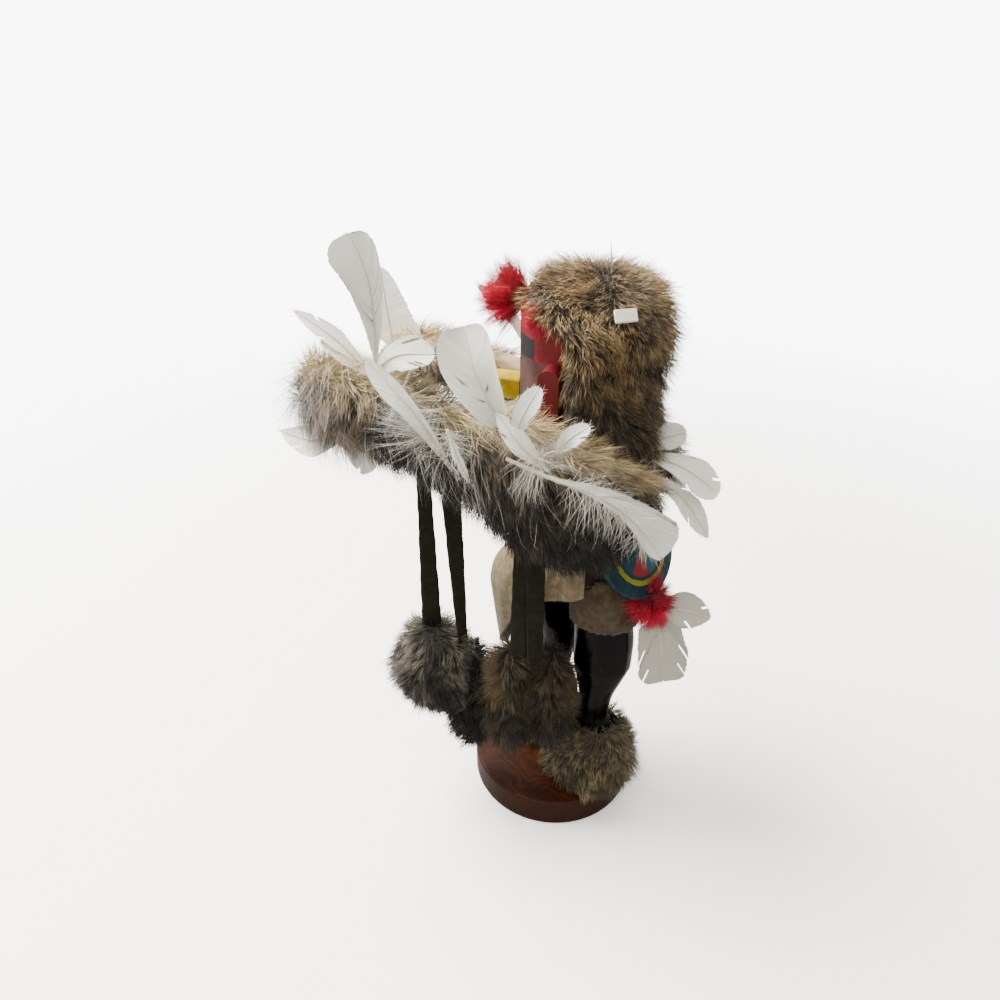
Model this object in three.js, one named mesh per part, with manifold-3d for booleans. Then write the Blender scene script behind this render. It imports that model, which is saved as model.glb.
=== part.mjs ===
// Carved dancer doll with fur-covered, feathered arms on a round wooden base.
// Millimetres, +Z up. The origin is the centre of the base's underside. The doll faces -Y and its left is +X.
import * as THREE from 'three';
import { mergeVertices } from 'three/addons/utils/BufferGeometryUtils.js';
import Module from 'manifold-3d';

const wasm = await Module();
wasm.setup();

// Driving dimensions
const FIT_GAP = 0.3;
const FIGURE_HEIGHT = 278.4;
const BASE_RADIUS = 45;
const BASE_THICKNESS = 16.6;
const BASE_CHAMFER = 1.2;
const HEAD_RADIUS = 26;
const HEAD_HEIGHT = 56;
const HEAD_EDGE = 1.5;
const NECK_HEIGHT = 223;
const HEAD_FORWARD = 4;
const BEAK_LENGTH = 15;
const BEAK_WIDTH = 13;
const BEAK_HEIGHT = 10;
const BEAK_RISE = 6;
const EAR_SIZE = 9;
const EAR_HEIGHT = 24;
const EAR_RISE = 9;
const BAND_THICKNESS = 2;
const KILT_WALL = 2.4;
const APRON_THICKNESS = 1.5;
const STRAP_THICKNESS = 1.6;
const FEATHER_THICKNESS = 1.1;
const SHIELD_RADIUS = 24.5;
const SHIELD_THICKNESS = 3;
const SHIELD_TILT = THREE.MathUtils.degToRad(28);
const SHIELD_TURN = THREE.MathUtils.degToRad(65);
const TAB_LENGTH = 9;
const TAB_WIDTH = 5;
const TAB_THICKNESS = 1.4;

// The pose and the carving are drawn for a figure of this height and follow the height that is asked for.
// Heights in the drawing, called h, count from a line that lies this far below the soles.
const DRAWN_HEIGHT = 278.4;
const DRAWN_SOLE = 13.6;
const SHARE = FIGURE_HEIGHT / DRAWN_HEIGHT;

// Trunk sections [x, y, h, half width, half depth], from the hips to the top of the neck
const TRUNK = [
  [0, 18, 145, 22, 14],
  [0, 17, 157, 25, 17],
  [0, 15, 172, 24, 16],
  [0, 14, 187, 24, 16],
  [0, 13.5, 199, 27, 16.5],
  [0, 13, 207, 28, 15],
  [0, 12, 213, 22, 13],
  [0, 8, 218, 13, 11],
  [0, 5, 223, 10, 10],
];
const DRAWN_WAIST = TRUNK[2][2];
const DRAWN_NECK = TRUNK[TRUNK.length - 1][2];

const group = new THREE.Group();

// What lies above the waist follows the neck; the chest between them stretches or shortens
function raised(h) {
  const share = THREE.MathUtils.clamp((h - DRAWN_WAIST) / (DRAWN_NECK - DRAWN_WAIST), 0, 1);
  return h + share * (NECK_HEIGHT - DRAWN_NECK);
}

// A place on the figure: x to its left, y to its back, h up
function place(x, y, h) {
  return new THREE.Vector3(x * SHARE, y * SHARE, (raised(h) - DRAWN_SOLE) * SHARE + BASE_THICKNESS);
}

// Even roughness between -1 and 1 for the locks of the furs
function rough(i, j) {
  const s = Math.sin(i * 12.9898 + j * 78.233) * 43758.5453;
  return 2 * (s - Math.floor(s)) - 1;
}

// Closed skin over rings of points that run counter-clockwise about the way from the first ring to the last
function skin(rings) {
  const sides = rings[0].length;
  const points = rings.flat();
  const faces = [];
  for (let i = 0; i + 1 < rings.length; i += 1) {
    for (let j = 0; j < sides; j += 1) {
      const a = i * sides + j;
      const b = i * sides + (j + 1) % sides;
      faces.push(a, b, b + sides, a, b + sides, a + sides);
    }
  }
  for (const end of [0, rings.length - 1]) {
    const middle = new THREE.Vector3();
    rings[end].forEach((p) => middle.addScaledVector(p, 1 / sides));
    points.push(middle);
    for (let j = 0; j < sides; j += 1) {
      const a = end * sides + j;
      const b = end * sides + (j + 1) % sides;
      faces.push(points.length - 1, end ? a : b, end ? b : a);
    }
  }
  const geometry = new THREE.BufferGeometry().setFromPoints(points);
  geometry.setIndex(faces);
  return geometry;
}

// Solid for cutting and joining, from a closed geometry
function solid(geometry) {
  const bare = geometry.clone();
  bare.deleteAttribute('normal');
  bare.deleteAttribute('uv');
  const merged = mergeVertices(bare, 1e-4);
  const mesh = new wasm.Mesh({
    numProp: 3,
    vertProperties: new Float32Array(merged.attributes.position.array),
    triVerts: new Uint32Array(merged.index.array),
  });
  return new wasm.Manifold(mesh);
}

// The piece that is left of a solid when its neighbours, each a little grown, are cut away
function fitted(piece, ...neighbours) {
  let left = piece;
  for (const other of neighbours) {
    left = left.subtract(other);
  }
  const parts = left.decompose();
  return parts.reduce((best, part) => (part.volume() > best.volume() ? part : best));
}

function geometryOf(piece) {
  const mesh = piece.getMesh();
  const geometry = new THREE.BufferGeometry();
  geometry.setAttribute('position', new THREE.BufferAttribute(new Float32Array(mesh.vertProperties), 3));
  geometry.setIndex(new THREE.BufferAttribute(new Uint32Array(mesh.triVerts), 1));
  geometry.computeVertexNormals();
  return geometry;
}

function add(name, piece, look) {
  const mesh = new THREE.Mesh(geometryOf(piece), new THREE.MeshStandardMaterial({ metalness: 0, ...look }));
  mesh.name = name;
  group.add(mesh);
}

// Form drawn by a few sections [x, y, h, half width, half depth] with level rings
function upright(sections, { sides = 16, grow = 0, lock = 0, reach = 0 } = {}) {
  const last = sections.length - 1;
  const rings = sections.map(([x, y, h, rx, ry], i) => {
    const end = (i === last ? 1 : 0) - (i === 0 ? 1 : 0);
    const ring = [];
    for (let j = 0; j < sides; j += 1) {
      const turn = (2 * Math.PI * j) / sides;
      const tuft = 1 + lock * ((i + j) % 2 ? 1 : -1) * (0.6 + 0.4 * rough(i, j));
      const point = place(
        x + rx * tuft * Math.cos(turn),
        y + ry * tuft * Math.sin(turn),
        h + (end ? 0 : reach * rough(j, i)),
      );
      point.x += grow * Math.cos(turn);
      point.y += grow * Math.sin(turn);
      point.z += grow * end;
      ring.push(point);
    }
    return ring;
  });
  return solid(skin(rings));
}

// Form along a path of sections [x, y, h, half width, half height], each ring square to the path
function along(sections, { sides = 12, grow = 0, lock = 0, taper = 0, fringe = 0 } = {}) {
  const centres = sections.map(([x, y, h]) => place(x, y, h));
  const last = sections.length - 1;
  const rings = sections.map(([, , , rw, rh], i) => {
    const way = centres[Math.min(i + 1, last)].clone().sub(centres[Math.max(i - 1, 0)]).normalize();
    const across = new THREE.Vector3(0, 0, 1).cross(way).normalize();
    const rise = way.clone().cross(across);
    const middle = centres[i].clone();
    middle.addScaledVector(way, grow * ((i === last ? 1 : 0) - (i === 0 ? 1 : 0)));
    const ring = [];
    for (let j = 0; j < sides; j += 1) {
      const turn = (2 * Math.PI * j) / sides;
      const low = Math.max(0, -Math.sin(turn));
      const tuft = 1 + lock * ((i + j) % 2 ? 1 : -1) * (0.6 + 0.4 * rough(i, j));
      const hang = fringe * (low > 0.95 ? rough(i, j) : 0);
      const out = rw * SHARE * tuft * (1 - taper * low) * Math.cos(turn) + grow * Math.cos(turn);
      const up = (rh * tuft + hang) * SHARE * Math.sin(turn) + grow * Math.sin(turn);
      ring.push(middle.clone().addScaledVector(across, out).addScaledVector(rise, up));
    }
    return ring;
  });
  return solid(skin(rings));
}

// Tufted ball, longer than it is wide
function puff(x, y, h, rx, ry, rh, { sides = 12, rows = 8, grow = 0, lock = 0.06 } = {}) {
  const sections = [];
  for (let i = 0; i <= rows; i += 1) {
    const rise = Math.PI * (0.06 + 0.88 * (i / rows)) - Math.PI / 2;
    sections.push([x, y, h + rh * Math.sin(rise), rx * Math.cos(rise), ry * Math.cos(rise)]);
  }
  return upright(sections, { sides, grow, lock });
}

// Turned base with a small chamfer on both edges
function baseDisc(grow = 0) {
  const radius = BASE_RADIUS + grow;
  const top = BASE_THICKNESS + grow;
  const profile = [
    [0, -grow],
    [radius - BASE_CHAMFER, -grow],
    [radius, BASE_CHAMFER - grow],
    [radius, top - BASE_CHAMFER],
    [radius - BASE_CHAMFER, top],
    [0, top],
  ];
  const turned = new THREE.LatheGeometry(profile.map(([r, z]) => new THREE.Vector2(r, z)), 40);
  return solid(turned.rotateX(Math.PI / 2));
}

// Legs, hips, chest and neck are one carving; the left leg stands back and the right leg steps forward
function leftLeg(grow = 0) {
  return upright([
    [14, 21, DRAWN_SOLE + FIT_GAP, 10, 19],
    [14, 23, 25, 10.5, 18],
    [14.5, 27, 42, 10, 14],
    [15, 27, 50, 9, 13],
    [15.5, 26, 62, 7.5, 7],
    [16, 26.5, 78, 9.5, 9.5],
    [16, 28, 98, 13, 15.2],
    [16, 28, 113, 13, 15.5],
    [15.5, 26, 137, 13, 14.5],
    [14, 23, 153, 14, 14],
    [11, 19, 163, 12, 13],
  ], { sides: 12, grow });
}

function rightLeg(grow = 0) {
  return upright([
    [-12, -12, DRAWN_SOLE + FIT_GAP, 10, 19],
    [-12, -11, 24, 10.5, 18],
    [-13, -7, 40, 9.5, 13],
    [-13, -4, 54, 7.5, 8.5],
    [-13.5, -3, 66, 7.5, 8],
    [-14, -2, 82, 10, 11],
    [-14, -2, 97, 12, 13.5],
    [-14, -4, 115, 12.5, 14],
    [-13.5, 2, 135, 13, 14.5],
    [-13, 11, 150, 13.5, 14.5],
    [-11, 15, 163, 12, 13],
  ], { sides: 12, grow });
}

function trunk(grow = 0) {
  return upright(TRUNK, { sides: 16, grow });
}

function carvedBody(grow = 0) {
  return trunk(grow).add(leftLeg(grow)).add(rightLeg(grow));
}

// The mask is a plain turned cylinder that covers the whole head
function maskHead(grow = 0) {
  const radius = HEAD_RADIUS + grow;
  const half = HEAD_HEIGHT / 2 + grow;
  const profile = [
    [0, -half],
    [radius - HEAD_EDGE, -half],
    [radius, HEAD_EDGE - half],
    [radius, half - HEAD_EDGE],
    [radius - HEAD_EDGE, half],
    [0, half],
  ];
  const turned = new THREE.LatheGeometry(profile.map(([r, z]) => new THREE.Vector2(r, z)), 28);
  turned.rotateX(Math.PI / 2);
  const middle = place(0, HEAD_FORWARD, DRAWN_NECK);
  turned.translate(middle.x, middle.y, middle.z + HEAD_HEIGHT / 2);
  return solid(turned);
}

// Box beak on the lower half of the face, a little narrower in front
function beak(grow = 0) {
  const face = place(0, HEAD_FORWARD, DRAWN_NECK);
  const back = HEAD_RADIUS - 3;
  const front = HEAD_RADIUS + BEAK_LENGTH + grow;
  const half = BEAK_WIDTH / 2 + grow;
  const outline = new THREE.Shape([
    new THREE.Vector2(-half, -back),
    new THREE.Vector2(-half * 0.78, -front),
    new THREE.Vector2(half * 0.78, -front),
    new THREE.Vector2(half, -back),
  ]);
  const bevel = 0.6;
  const block = new THREE.ExtrudeGeometry(outline, {
    depth: BEAK_HEIGHT - 2 * bevel + 2 * grow,
    bevelEnabled: true,
    bevelThickness: bevel,
    bevelSize: bevel,
    bevelOffset: -bevel,
    bevelSegments: 1,
  });
  block.translate(face.x, face.y, face.z + BEAK_RISE + bevel - grow);
  return solid(block);
}

// Upright block ears with rounded tops, one on each side of the mask
function ear(side, grow = 0) {
  const foot = place(0, HEAD_FORWARD - 4, DRAWN_NECK);
  const half = EAR_SIZE / 2 + grow;
  const round = EAR_SIZE / 2;
  const outline = new THREE.Shape();
  outline.moveTo(-half, -grow);
  outline.lineTo(half, -grow);
  outline.lineTo(half, EAR_HEIGHT - round);
  outline.absarc(0, EAR_HEIGHT - round, half, 0, Math.PI, false);
  const block = new THREE.ExtrudeGeometry(outline, {
    depth: EAR_SIZE + 3 + grow,
    bevelEnabled: false,
    curveSegments: 8,
  });
  block.rotateX(Math.PI / 2);
  block.rotateZ(side * Math.PI / 2);
  block.translate(side * (HEAD_RADIUS - 3), foot.y, foot.z + EAR_RISE);
  return solid(block);
}

// Fur hood over the top, the sides and the nape; its front edge leaves the face and the ears free
function furHood(grow = 0) {
  const outside = upright([
    [4, 37, 211, 9, 5],
    [3, 34, 219, 17, 9],
    [2, 20, 227, 32, 21],
    [1, 12, 236, 34, 29],
    [0, 8.5, 249, 35, 33],
    [0, 7.5, 262, 35.5, 35.5],
    [0, 7.5, 274, 33, 34],
    [0, 8, 283, 26, 28],
    [0, 8.5, 288.5, 18, 19],
    [0, 9, DRAWN_HEIGHT + DRAWN_SOLE - 0.5, 8, 8],
  ], { sides: 16, grow, lock: 0.045, reach: 1.6 });
  const brow = HEAD_FORWARD - 28;
  const lobe = HEAD_FORWARD + 1 - grow;
  const temple = lobe - 9;
  const edge = [[-90, 277], [brow - grow, 277], [temple, 272], [lobe, 264], [lobe, 150], [-90, 150]];
  const opening = new THREE.Shape(edge.map(([y, h]) => {
    const point = place(0, y, h);
    return new THREE.Vector2(point.y, point.z);
  }));
  const cut = new THREE.ExtrudeGeometry(opening, { depth: 120, bevelEnabled: false });
  cut.translate(0, 0, -60);
  cut.rotateX(Math.PI / 2);
  cut.rotateZ(Math.PI / 2);
  return outside.subtract(solid(cut));
}

// Arms run forward from the shoulders; the front ends are carved to blunt hands
function arm(side, grow = 0) {
  return along([
    [side * 20, 13, 205, 7.5, 7.5],
    [side * 31, 3, 213, 7.5, 7.5],
    [side * 35.5, -12, 220, 6.8, 6.8],
    [side * 38, -42, 228, 6.2, 6.2],
    [side * 40, -70, 231.5, 5.6, 5.6],
    [side * 41, -92, 233, 5.4, 5.4],
    [side * 41, -101, 233.5, 4.4, 7],
    [side * 41, -106, 233.5, 3, 4.5],
  ], { sides: 10, grow });
}

// The left wing fur wraps the arm and the shoulder; the right one sits lower and leaves the arm's top bare
const LEFT_WING = [
  [41, -114, 231, 4, 7],
  [42, -107, 232, 10.5, 18],
  [43, -92, 233, 13, 24],
  [43.5, -77, 231.5, 13.4, 23],
  [44.5, -62, 228.5, 13, 22.5],
  [45.5, -42, 222, 12.5, 22],
  [46.5, -21, 217, 12.5, 25],
  [46, 0, 206, 13, 30],
  [41, 18, 199, 13, 30.5],
  [32, 33, 198, 11, 24],
  [23, 41, 200, 8, 16],
  [15, 44, 203, 3.5, 6],
];

const BARE_ARM_DROP = 8;

function rightWingSections() {
  return LEFT_WING.map(([x, y, h, rw, rh]) => {
    const bare = BARE_ARM_DROP * (1 - THREE.MathUtils.smoothstep(y, 8, 26));
    return [-x - bare / 3, y, h - bare, rw, Math.max(rh - bare, rh / 2)];
  });
}

function wingFur(side, grow = 0) {
  const sections = side > 0 ? LEFT_WING : rightWingSections();
  return along(sections, { sides: 12, grow, lock: 0.045, taper: 0.35, fringe: 2 });
}

function torsoFur(grow = 0) {
  return upright([
    [0, 15, 169, 29, 21.5],
    [0, 14.5, 176, 33, 25],
    [0, 14, 189, 33, 25.5],
    [0, 13.5, 201, 32, 23],
    [0, 12, 210, 26, 19],
    [0, 10, 216, 16, 13],
  ], { sides: 14, grow, lock: 0.045, reach: 1.2 });
}

// Kilt: a cloth wall round the hips, snug at the belt and open below
const KILT_TOP = 168.2;
const KILT_HEM = 151;

function kiltForm(inset, grow = 0) {
  const mouth = inset ? 2 : 0;
  const top = inset ? KILT_TOP - 9 : KILT_TOP;
  return upright([
    [0, 16.5, KILT_HEM - mouth, 31 - inset, 23 - inset],
    [0, 15.5, top, 28 - inset, 20.5 - inset],
  ], { sides: 18, grow });
}

// Suede apron: flares from the belt over the stepping knee and ends in a long pointed tail in front
const APRON_TOP = 165;
const TAIL_SHARE = 0.34;
const APRON_HALF_TURN = THREE.MathUtils.degToRad(100);

function apronHem(turn) {
  const side = Math.abs(turn) / APRON_HALF_TURN;
  const tail = Math.max(0, 1 - side / TAIL_SHARE);
  return 128 + 19 * side - 48 * Math.sqrt(tail);
}

function apronPoint(turn, drop, out) {
  const front = Math.cos(turn / 2) ** 14;
  const hem = apronHem(turn);
  const h = APRON_TOP + (hem - APRON_TOP) * drop;
  const fall = APRON_TOP - h;
  const belly = Math.sin((Math.PI / 2) * Math.min(1, fall / 34)) - 0.2 * Math.max(0, (fall - 34) / 40);
  const pleat = 0.9 * Math.sin(turn * 9) * Math.min(1, fall / 20);
  const spread = 26 * front * belly + 2.6 * Math.min(1, fall / 14) + pleat + out / SHARE;
  return place((29 + spread) * Math.sin(turn), 15.5 - (21.5 + spread) * Math.cos(turn), h);
}

function apron() {
  const columns = 20;
  const rows = 5;
  const rings = [];
  for (let i = 0; i <= columns; i += 1) {
    const turn = APRON_HALF_TURN * (2 * (i / columns) - 1);
    const ring = [];
    for (let k = 0; k <= rows; k += 1) {
      ring.push(apronPoint(turn, k / rows, APRON_THICKNESS));
    }
    for (let k = rows; k >= 0; k -= 1) {
      ring.push(apronPoint(turn, k / rows, 0));
    }
    rings.push(ring);
  }
  return facingOut(skin(rings));
}

function facingOut(geometry) {
  const piece = solid(geometry);
  if (piece.volume() > 0) {
    return piece;
  }
  const flipped = geometry.clone();
  flipped.setIndex(Array.from(geometry.index.array).reverse());
  return solid(flipped);
}

// Suede bands: the leg's own form a little grown, between two level planes
function levelSlab(low, high) {
  const box = new THREE.BoxGeometry(200, 200, (high - low) * SHARE);
  const middle = place(0, 0, (low + high) / 2);
  return solid(box.translate(0, 0, middle.z));
}

function kneeBand(leg, low, high, grow = 0) {
  return leg(BAND_THICKNESS + FIT_GAP + grow).intersect(levelSlab(low - grow, high + grow));
}

const LEFT_BAND = [126, 155];
const RIGHT_BAND = [115, 139];

// Fur cuffs round both feet; the left one overhangs the back edge of the base
function footFur(side, grow = 0) {
  const left = [
    [15, 26, DRAWN_SOLE + FIT_GAP, 20, 22],
    [15, 26.5, 22, 22.5, 25],
    [14, 27, 35, 22, 25],
    [14.5, 27, 47, 18, 21.5],
    [15.5, 26.5, 57, 12, 15],
  ];
  const right = [
    [-11, -12, DRAWN_SOLE + FIT_GAP, 17, 18],
    [-11, -12, 21, 19.5, 20],
    [-11.5, -11, 32, 18, 18.5],
    [-12.5, -8.5, 44, 13, 14.5],
    [-13, -6.5, 50, 10, 12],
  ];
  return upright(side > 0 ? left : right, { sides: 16, grow, lock: 0.045, reach: 1.2 });
}

// Fur pompoms [x, y, h, half width, half depth, half height] and the straps that carry them
const POMPOMS = [
  [40, -55, 91, 19, 22.5, 29],
  [34, -37, 70, 14, 17.5, 36],
  [36, -14, 79, 15, 15, 34],
  [31, 6, 80, 14, 14, 34],
];

function pompom(index, grow = 0) {
  const [x, y, h, rx, ry, rh] = POMPOMS[index];
  return puff(x, y, h, rx, ry, rh, { sides: 12, rows: 7, grow });
}

// Straps: [x, y at the top, y at the bottom, top h, bottom h, top width, bottom width, twist in turns]
const STRAPS = [
  [40, -55, -55, 206, 112, 6, 10, 0.04],
  [38, -43, -39, 200, 98, 9, 5.5, 0.18],
  [40, -11, -12, 189, 104, 6, 8.5, -0.08],
  [39, -2, 0, 186, 106, 9, 7, 0.1],
];

function strap(index) {
  const [x, topY, lowY, top, low, topWidth, lowWidth, twist] = STRAPS[index];
  const rows = 6;
  const rings = [];
  for (let i = 0; i <= rows; i += 1) {
    const s = i / rows;
    const turn = THREE.MathUtils.degToRad(20) + 2 * Math.PI * twist * s;
    const middle = place(x, THREE.MathUtils.lerp(lowY, topY, s), THREE.MathUtils.lerp(low, top, s));
    const half = (THREE.MathUtils.lerp(lowWidth, topWidth, s) * SHARE) / 2;
    const wide = new THREE.Vector3(-Math.sin(turn), Math.cos(turn), 0);
    const thick = new THREE.Vector3(Math.cos(turn), Math.sin(turn), 0);
    rings.push([[-1, -1], [-1, 1], [1, 1], [1, -1]].map(([a, b]) => middle.clone()
      .addScaledVector(wide, a * half)
      .addScaledVector(thick, (b * STRAP_THICKNESS) / 2)));
  }
  return facingOut(skin(rings));
}

// Round painted shield on the left hip, leaning out over the leg
const SHIELD_PLACE = [17.5, 41, 171];

function shieldDisc(grow = 0) {
  const radius = SHIELD_RADIUS + grow;
  const half = SHIELD_THICKNESS / 2 + grow;
  const rim = 0.8;
  const profile = [[0, -half], [radius - rim, -half], [radius, rim - half], [radius, half - rim], [radius - rim, half],
    [radius * 0.6, half + 0.6], [0, half + 1.4]];
  const disc = new THREE.LatheGeometry(profile.map(([r, z]) => new THREE.Vector2(r, z)), 24);
  disc.rotateX(Math.PI / 2);
  disc.rotateY(Math.PI / 2 - SHIELD_TILT);
  disc.rotateZ(SHIELD_TURN);
  const middle = place(...SHIELD_PLACE);
  disc.translate(middle.x, middle.y, middle.z);
  return solid(disc);
}

// Feather: a thin blade along a bent quill, cupped across, widest at the given share of its length.
// facing is the way its face looks; blunt near 0 gives a broad round end and 1 a long point.
function feather({ quill, wide, peak, blunt = 0.5, cup = 0.12, facing }, grow = 0) {
  const curve = new THREE.CatmullRomCurve3(quill.map((p) => place(...p)));
  const look = new THREE.Vector3(...facing).normalize();
  const stations = 8;
  const rings = [];
  for (let i = 0; i <= stations; i += 1) {
    const s = i / stations;
    const middle = curve.getPoint(s);
    const way = curve.getTangent(s);
    const across = way.clone().cross(look).normalize();
    const up = across.clone().cross(way).normalize();
    const fore = Math.min(1, s / peak);
    const aft = Math.max(0, (s - peak) / (1 - peak));
    const half = SHARE * Math.max(0.7, wide * fore ** 0.9 * Math.max(0, 1 - aft ** 2.2) ** blunt) + grow;
    const thick = (FEATHER_THICKNESS / 2) * (1.15 - 0.5 * s) + grow * 1.5;
    const lift = cup * half;
    middle.addScaledVector(way, grow * ((i === stations ? 1 : 0) - (i === 0 ? 1 : 0)));
    rings.push([
      middle.clone().addScaledVector(across, half).addScaledVector(up, lift),
      middle.clone().addScaledVector(up, thick),
      middle.clone().addScaledVector(across, -half).addScaledVector(up, lift),
      middle.clone().addScaledVector(up, -thick),
    ]);
  }
  return facingOut(skin(rings));
}

const LEFT_FEATHERS = [
  { quill: [[46, -74.5, 249], [47, -77, 275], [48, -72, 308]], wide: 10, peak: 0.74, facing: [0.8, 0.3, 0.4] },
  {
    quill: [[45, -75, 250], [45.5, -90, 263], [46, -108, 273]],
    wide: 5,
    peak: 0.45,
    blunt: 0.9,
    facing: [0.7, 0, 0.7],
  },
  { quill: [[57, -35, 217], [61.5, -46, 241], [60, -68, 262]], wide: 7, peak: 0.6, facing: [0.9, 0.1, 0.3] },
  {
    quill: [[43, -98, 217], [42, -112, 216], [41, -129, 213]],
    wide: 8.5,
    peak: 0.5,
    blunt: 0.9,
    facing: [0.8, 0.2, 0.5],
  },
  {
    quill: [[45, -80, 214], [45, -81, 208], [45, -83, 197]],
    wide: 5,
    peak: 0.4,
    blunt: 0.9,
    facing: [0.9, 0.2, 0.2],
  },
  {
    quill: [[56, -19, 237], [58.5, -25, 250], [57.5, -27.5, 263], [51, -25.5, 278]],
    wide: 11.5,
    peak: 0.66,
    cup: 0.35,
    facing: [0.8, 0.2, 0.5],
  },
  { quill: [[56, -6.5, 233], [59, -3, 245], [53, 2.3, 256.5]], wide: 4.4, peak: 0.6, facing: [0.8, 0.2, 0.5] },
  {
    quill: [[56, 7.5, 223], [60.5, -3, 235], [58.5, -13.5, 246]],
    wide: 4.4,
    peak: 0.5,
    blunt: 0.9,
    facing: [0.8, 0.3, 0.4],
  },
  { quill: [[50, 8, 226], [52.5, 14, 236], [50, 21.6, 242]], wide: 4, peak: 0.6, facing: [0.7, 0.3, 0.6] },
  {
    quill: [[59, -9, 227], [60, 10, 222], [53.5, 27, 214], [45, 40, 200], [34, 50, 178]],
    wide: 10,
    peak: 0.84,
    facing: [0.85, 0.45, 0.3],
  },
  {
    quill: [[59, -34, 236], [61.5, -29, 226], [60, -24, 213]],
    wide: 1.8,
    peak: 0.5,
    blunt: 0.9,
    facing: [0.9, 0.2, 0.2],
  },
];

function mirrored({ quill, facing, ...rest }) {
  return {
    quill: quill.map(([x, y, h]) => [-x, y, h]),
    facing: [-facing[0], facing[1], facing[2]],
    ...rest,
  };
}

const RIGHT_FEATHERS = [
  {
    quill: [[-46, -100, 226], [-46, -106, 248], [-46, -113, 270]],
    wide: 17,
    peak: 0.25,
    blunt: 0.9,
    facing: [0.6, -0.3, 0.7],
  },
  mirrored(LEFT_FEATHERS[2]),
  mirrored(LEFT_FEATHERS[3]),
  mirrored(LEFT_FEATHERS[7]),
  mirrored(LEFT_FEATHERS[9]),
];

const BACK_FEATHERS = [
  { quill: [[7, 36, 216], [6, 45, 221], [4, 54, 224.5]], wide: 6, peak: 0.6, facing: [0.6, 0.1, 0.8] },
  { quill: [[8, 36, 213], [7, 54, 209], [4, 71, 197]], wide: 8.5, peak: 0.66, facing: [0.6, 0.3, 0.75] },
  {
    quill: [[12, 36, 207], [11, 55, 197], [8, 70, 176]],
    wide: 5.5,
    peak: 0.6,
    blunt: 0.9,
    facing: [0.7, 0.4, 0.6],
  },
];

const SHIELD_FEATHERS = [
  {
    quill: [[16, 53, 137], [12, 64, 137], [8, 77, 132.5]],
    wide: 7.5,
    peak: 0.45,
    blunt: 0.9,
    facing: [0.8, 0.2, 0.5],
  },
  {
    quill: [[16, 53, 131], [16, 57, 113], [14, 59.5, 91.5]],
    wide: 13,
    peak: 0.62,
    blunt: 0.3,
    facing: [0.9, 0.4, 0.1],
  },
];

// Red fluff on the brow and on the shield
function browFluff(grow = 0) {
  return puff(1, -26.5, 277, 9.5, 9.5, 8.5, { sides: 10, rows: 6, grow, lock: 0.16 });
}

function shieldFluff(grow = 0) {
  return puff(15.5, 51, 139, 7.5, 8.5, 9.5, { sides: 10, rows: 6, grow, lock: 0.16 });
}

// Small white tab that lies on the left of the hood
function hoodTab() {
  const box = new THREE.BoxGeometry(TAB_THICKNESS, TAB_LENGTH, TAB_WIDTH);
  box.rotateY(-0.55);
  box.rotateZ(0.62);
  const middle = place(32, 28.4, 280);
  return solid(box.translate(middle.x, middle.y, middle.z));
}

// Grown copies that cut the neighbours
const near = {
  body: carvedBody(FIT_GAP),
  head: maskHead(FIT_GAP),
  beak: beak(FIT_GAP),
  ears: ear(1, FIT_GAP).add(ear(-1, FIT_GAP)),
  arms: arm(1, FIT_GAP).add(arm(-1, FIT_GAP)),
  hood: furHood(FIT_GAP),
  shield: shieldDisc(FIT_GAP),
  torso: torsoFur(FIT_GAP),
  kilt: kiltForm(0, FIT_GAP),
  wings: wingFur(1, FIT_GAP).add(wingFur(-1, FIT_GAP)),
  bands: kneeBand(leftLeg, ...LEFT_BAND, FIT_GAP).add(kneeBand(rightLeg, ...RIGHT_BAND, FIT_GAP)),
  leftFoot: footFur(1, FIT_GAP),
  rightFoot: footFur(-1, FIT_GAP),
  pompoms: POMPOMS.map((_, i) => pompom(i, FIT_GAP)),
  shieldFluff: shieldFluff(FIT_GAP),
  brow: browFluff(FIT_GAP),
};
const allPompoms = near.pompoms.reduce((joined, one) => joined.add(one));

const WOOD = { color: 0x7a3a1c, roughness: 0.45 };
const BOOT = { color: 0x14110f, roughness: 0.35 };
const RED = { color: 0x9c1420, roughness: 0.6 };
const YELLOW = { color: 0xd8b20c, roughness: 0.55 };
const HOOD_FUR = { color: 0x7d6242, roughness: 0.95 };
const GREY_FUR = { color: 0x8d8474, roughness: 0.95 };
const DARK_FUR = { color: 0x3b2c20, roughness: 0.95 };
const PALE_FUR = { color: 0xa69780, roughness: 0.95 };
const FLUFF = { color: 0xc3101f, roughness: 0.9 };
const BARE_WOOD = { color: 0xc2a98a, roughness: 0.7 };
const SUEDE = { color: 0xb9a98c, roughness: 0.9 };
const CLOTH = { color: 0x2c0f10, roughness: 0.9 };
const STRAP = { color: 0x4a4636, roughness: 0.85 };
const WHITE = { color: 0xe8e6dd, roughness: 0.75 };
const TEAL = { color: 0x0d5566, roughness: 0.5 };

add('base', baseDisc(), WOOD);
add('carved_body', fitted(carvedBody(), near.head), BOOT);
add('mask_head', fitted(maskHead()), RED);
add('beak', fitted(beak(), near.head), YELLOW);
add('ear_left', fitted(ear(1), near.head), RED);
add('ear_right', fitted(ear(-1), near.head), RED);
add('fur_hood', fitted(furHood(), near.head, near.body, near.ears, near.arms), HOOD_FUR);
add('brow_fluff', fitted(browFluff(), near.head, near.hood), FLUFF);
add('hood_tab', fitted(hoodTab(), near.hood), WHITE);

for (const [side, word] of [[1, 'left'], [-1, 'right']]) {
  add(`arm_${word}`, fitted(arm(side), near.body), BARE_WOOD);
  add(
    `wing_fur_${word}`,
    fitted(wingFur(side), near.arms, near.body, near.torso, near.hood, near.shield),
    GREY_FUR,
  );
}

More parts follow.
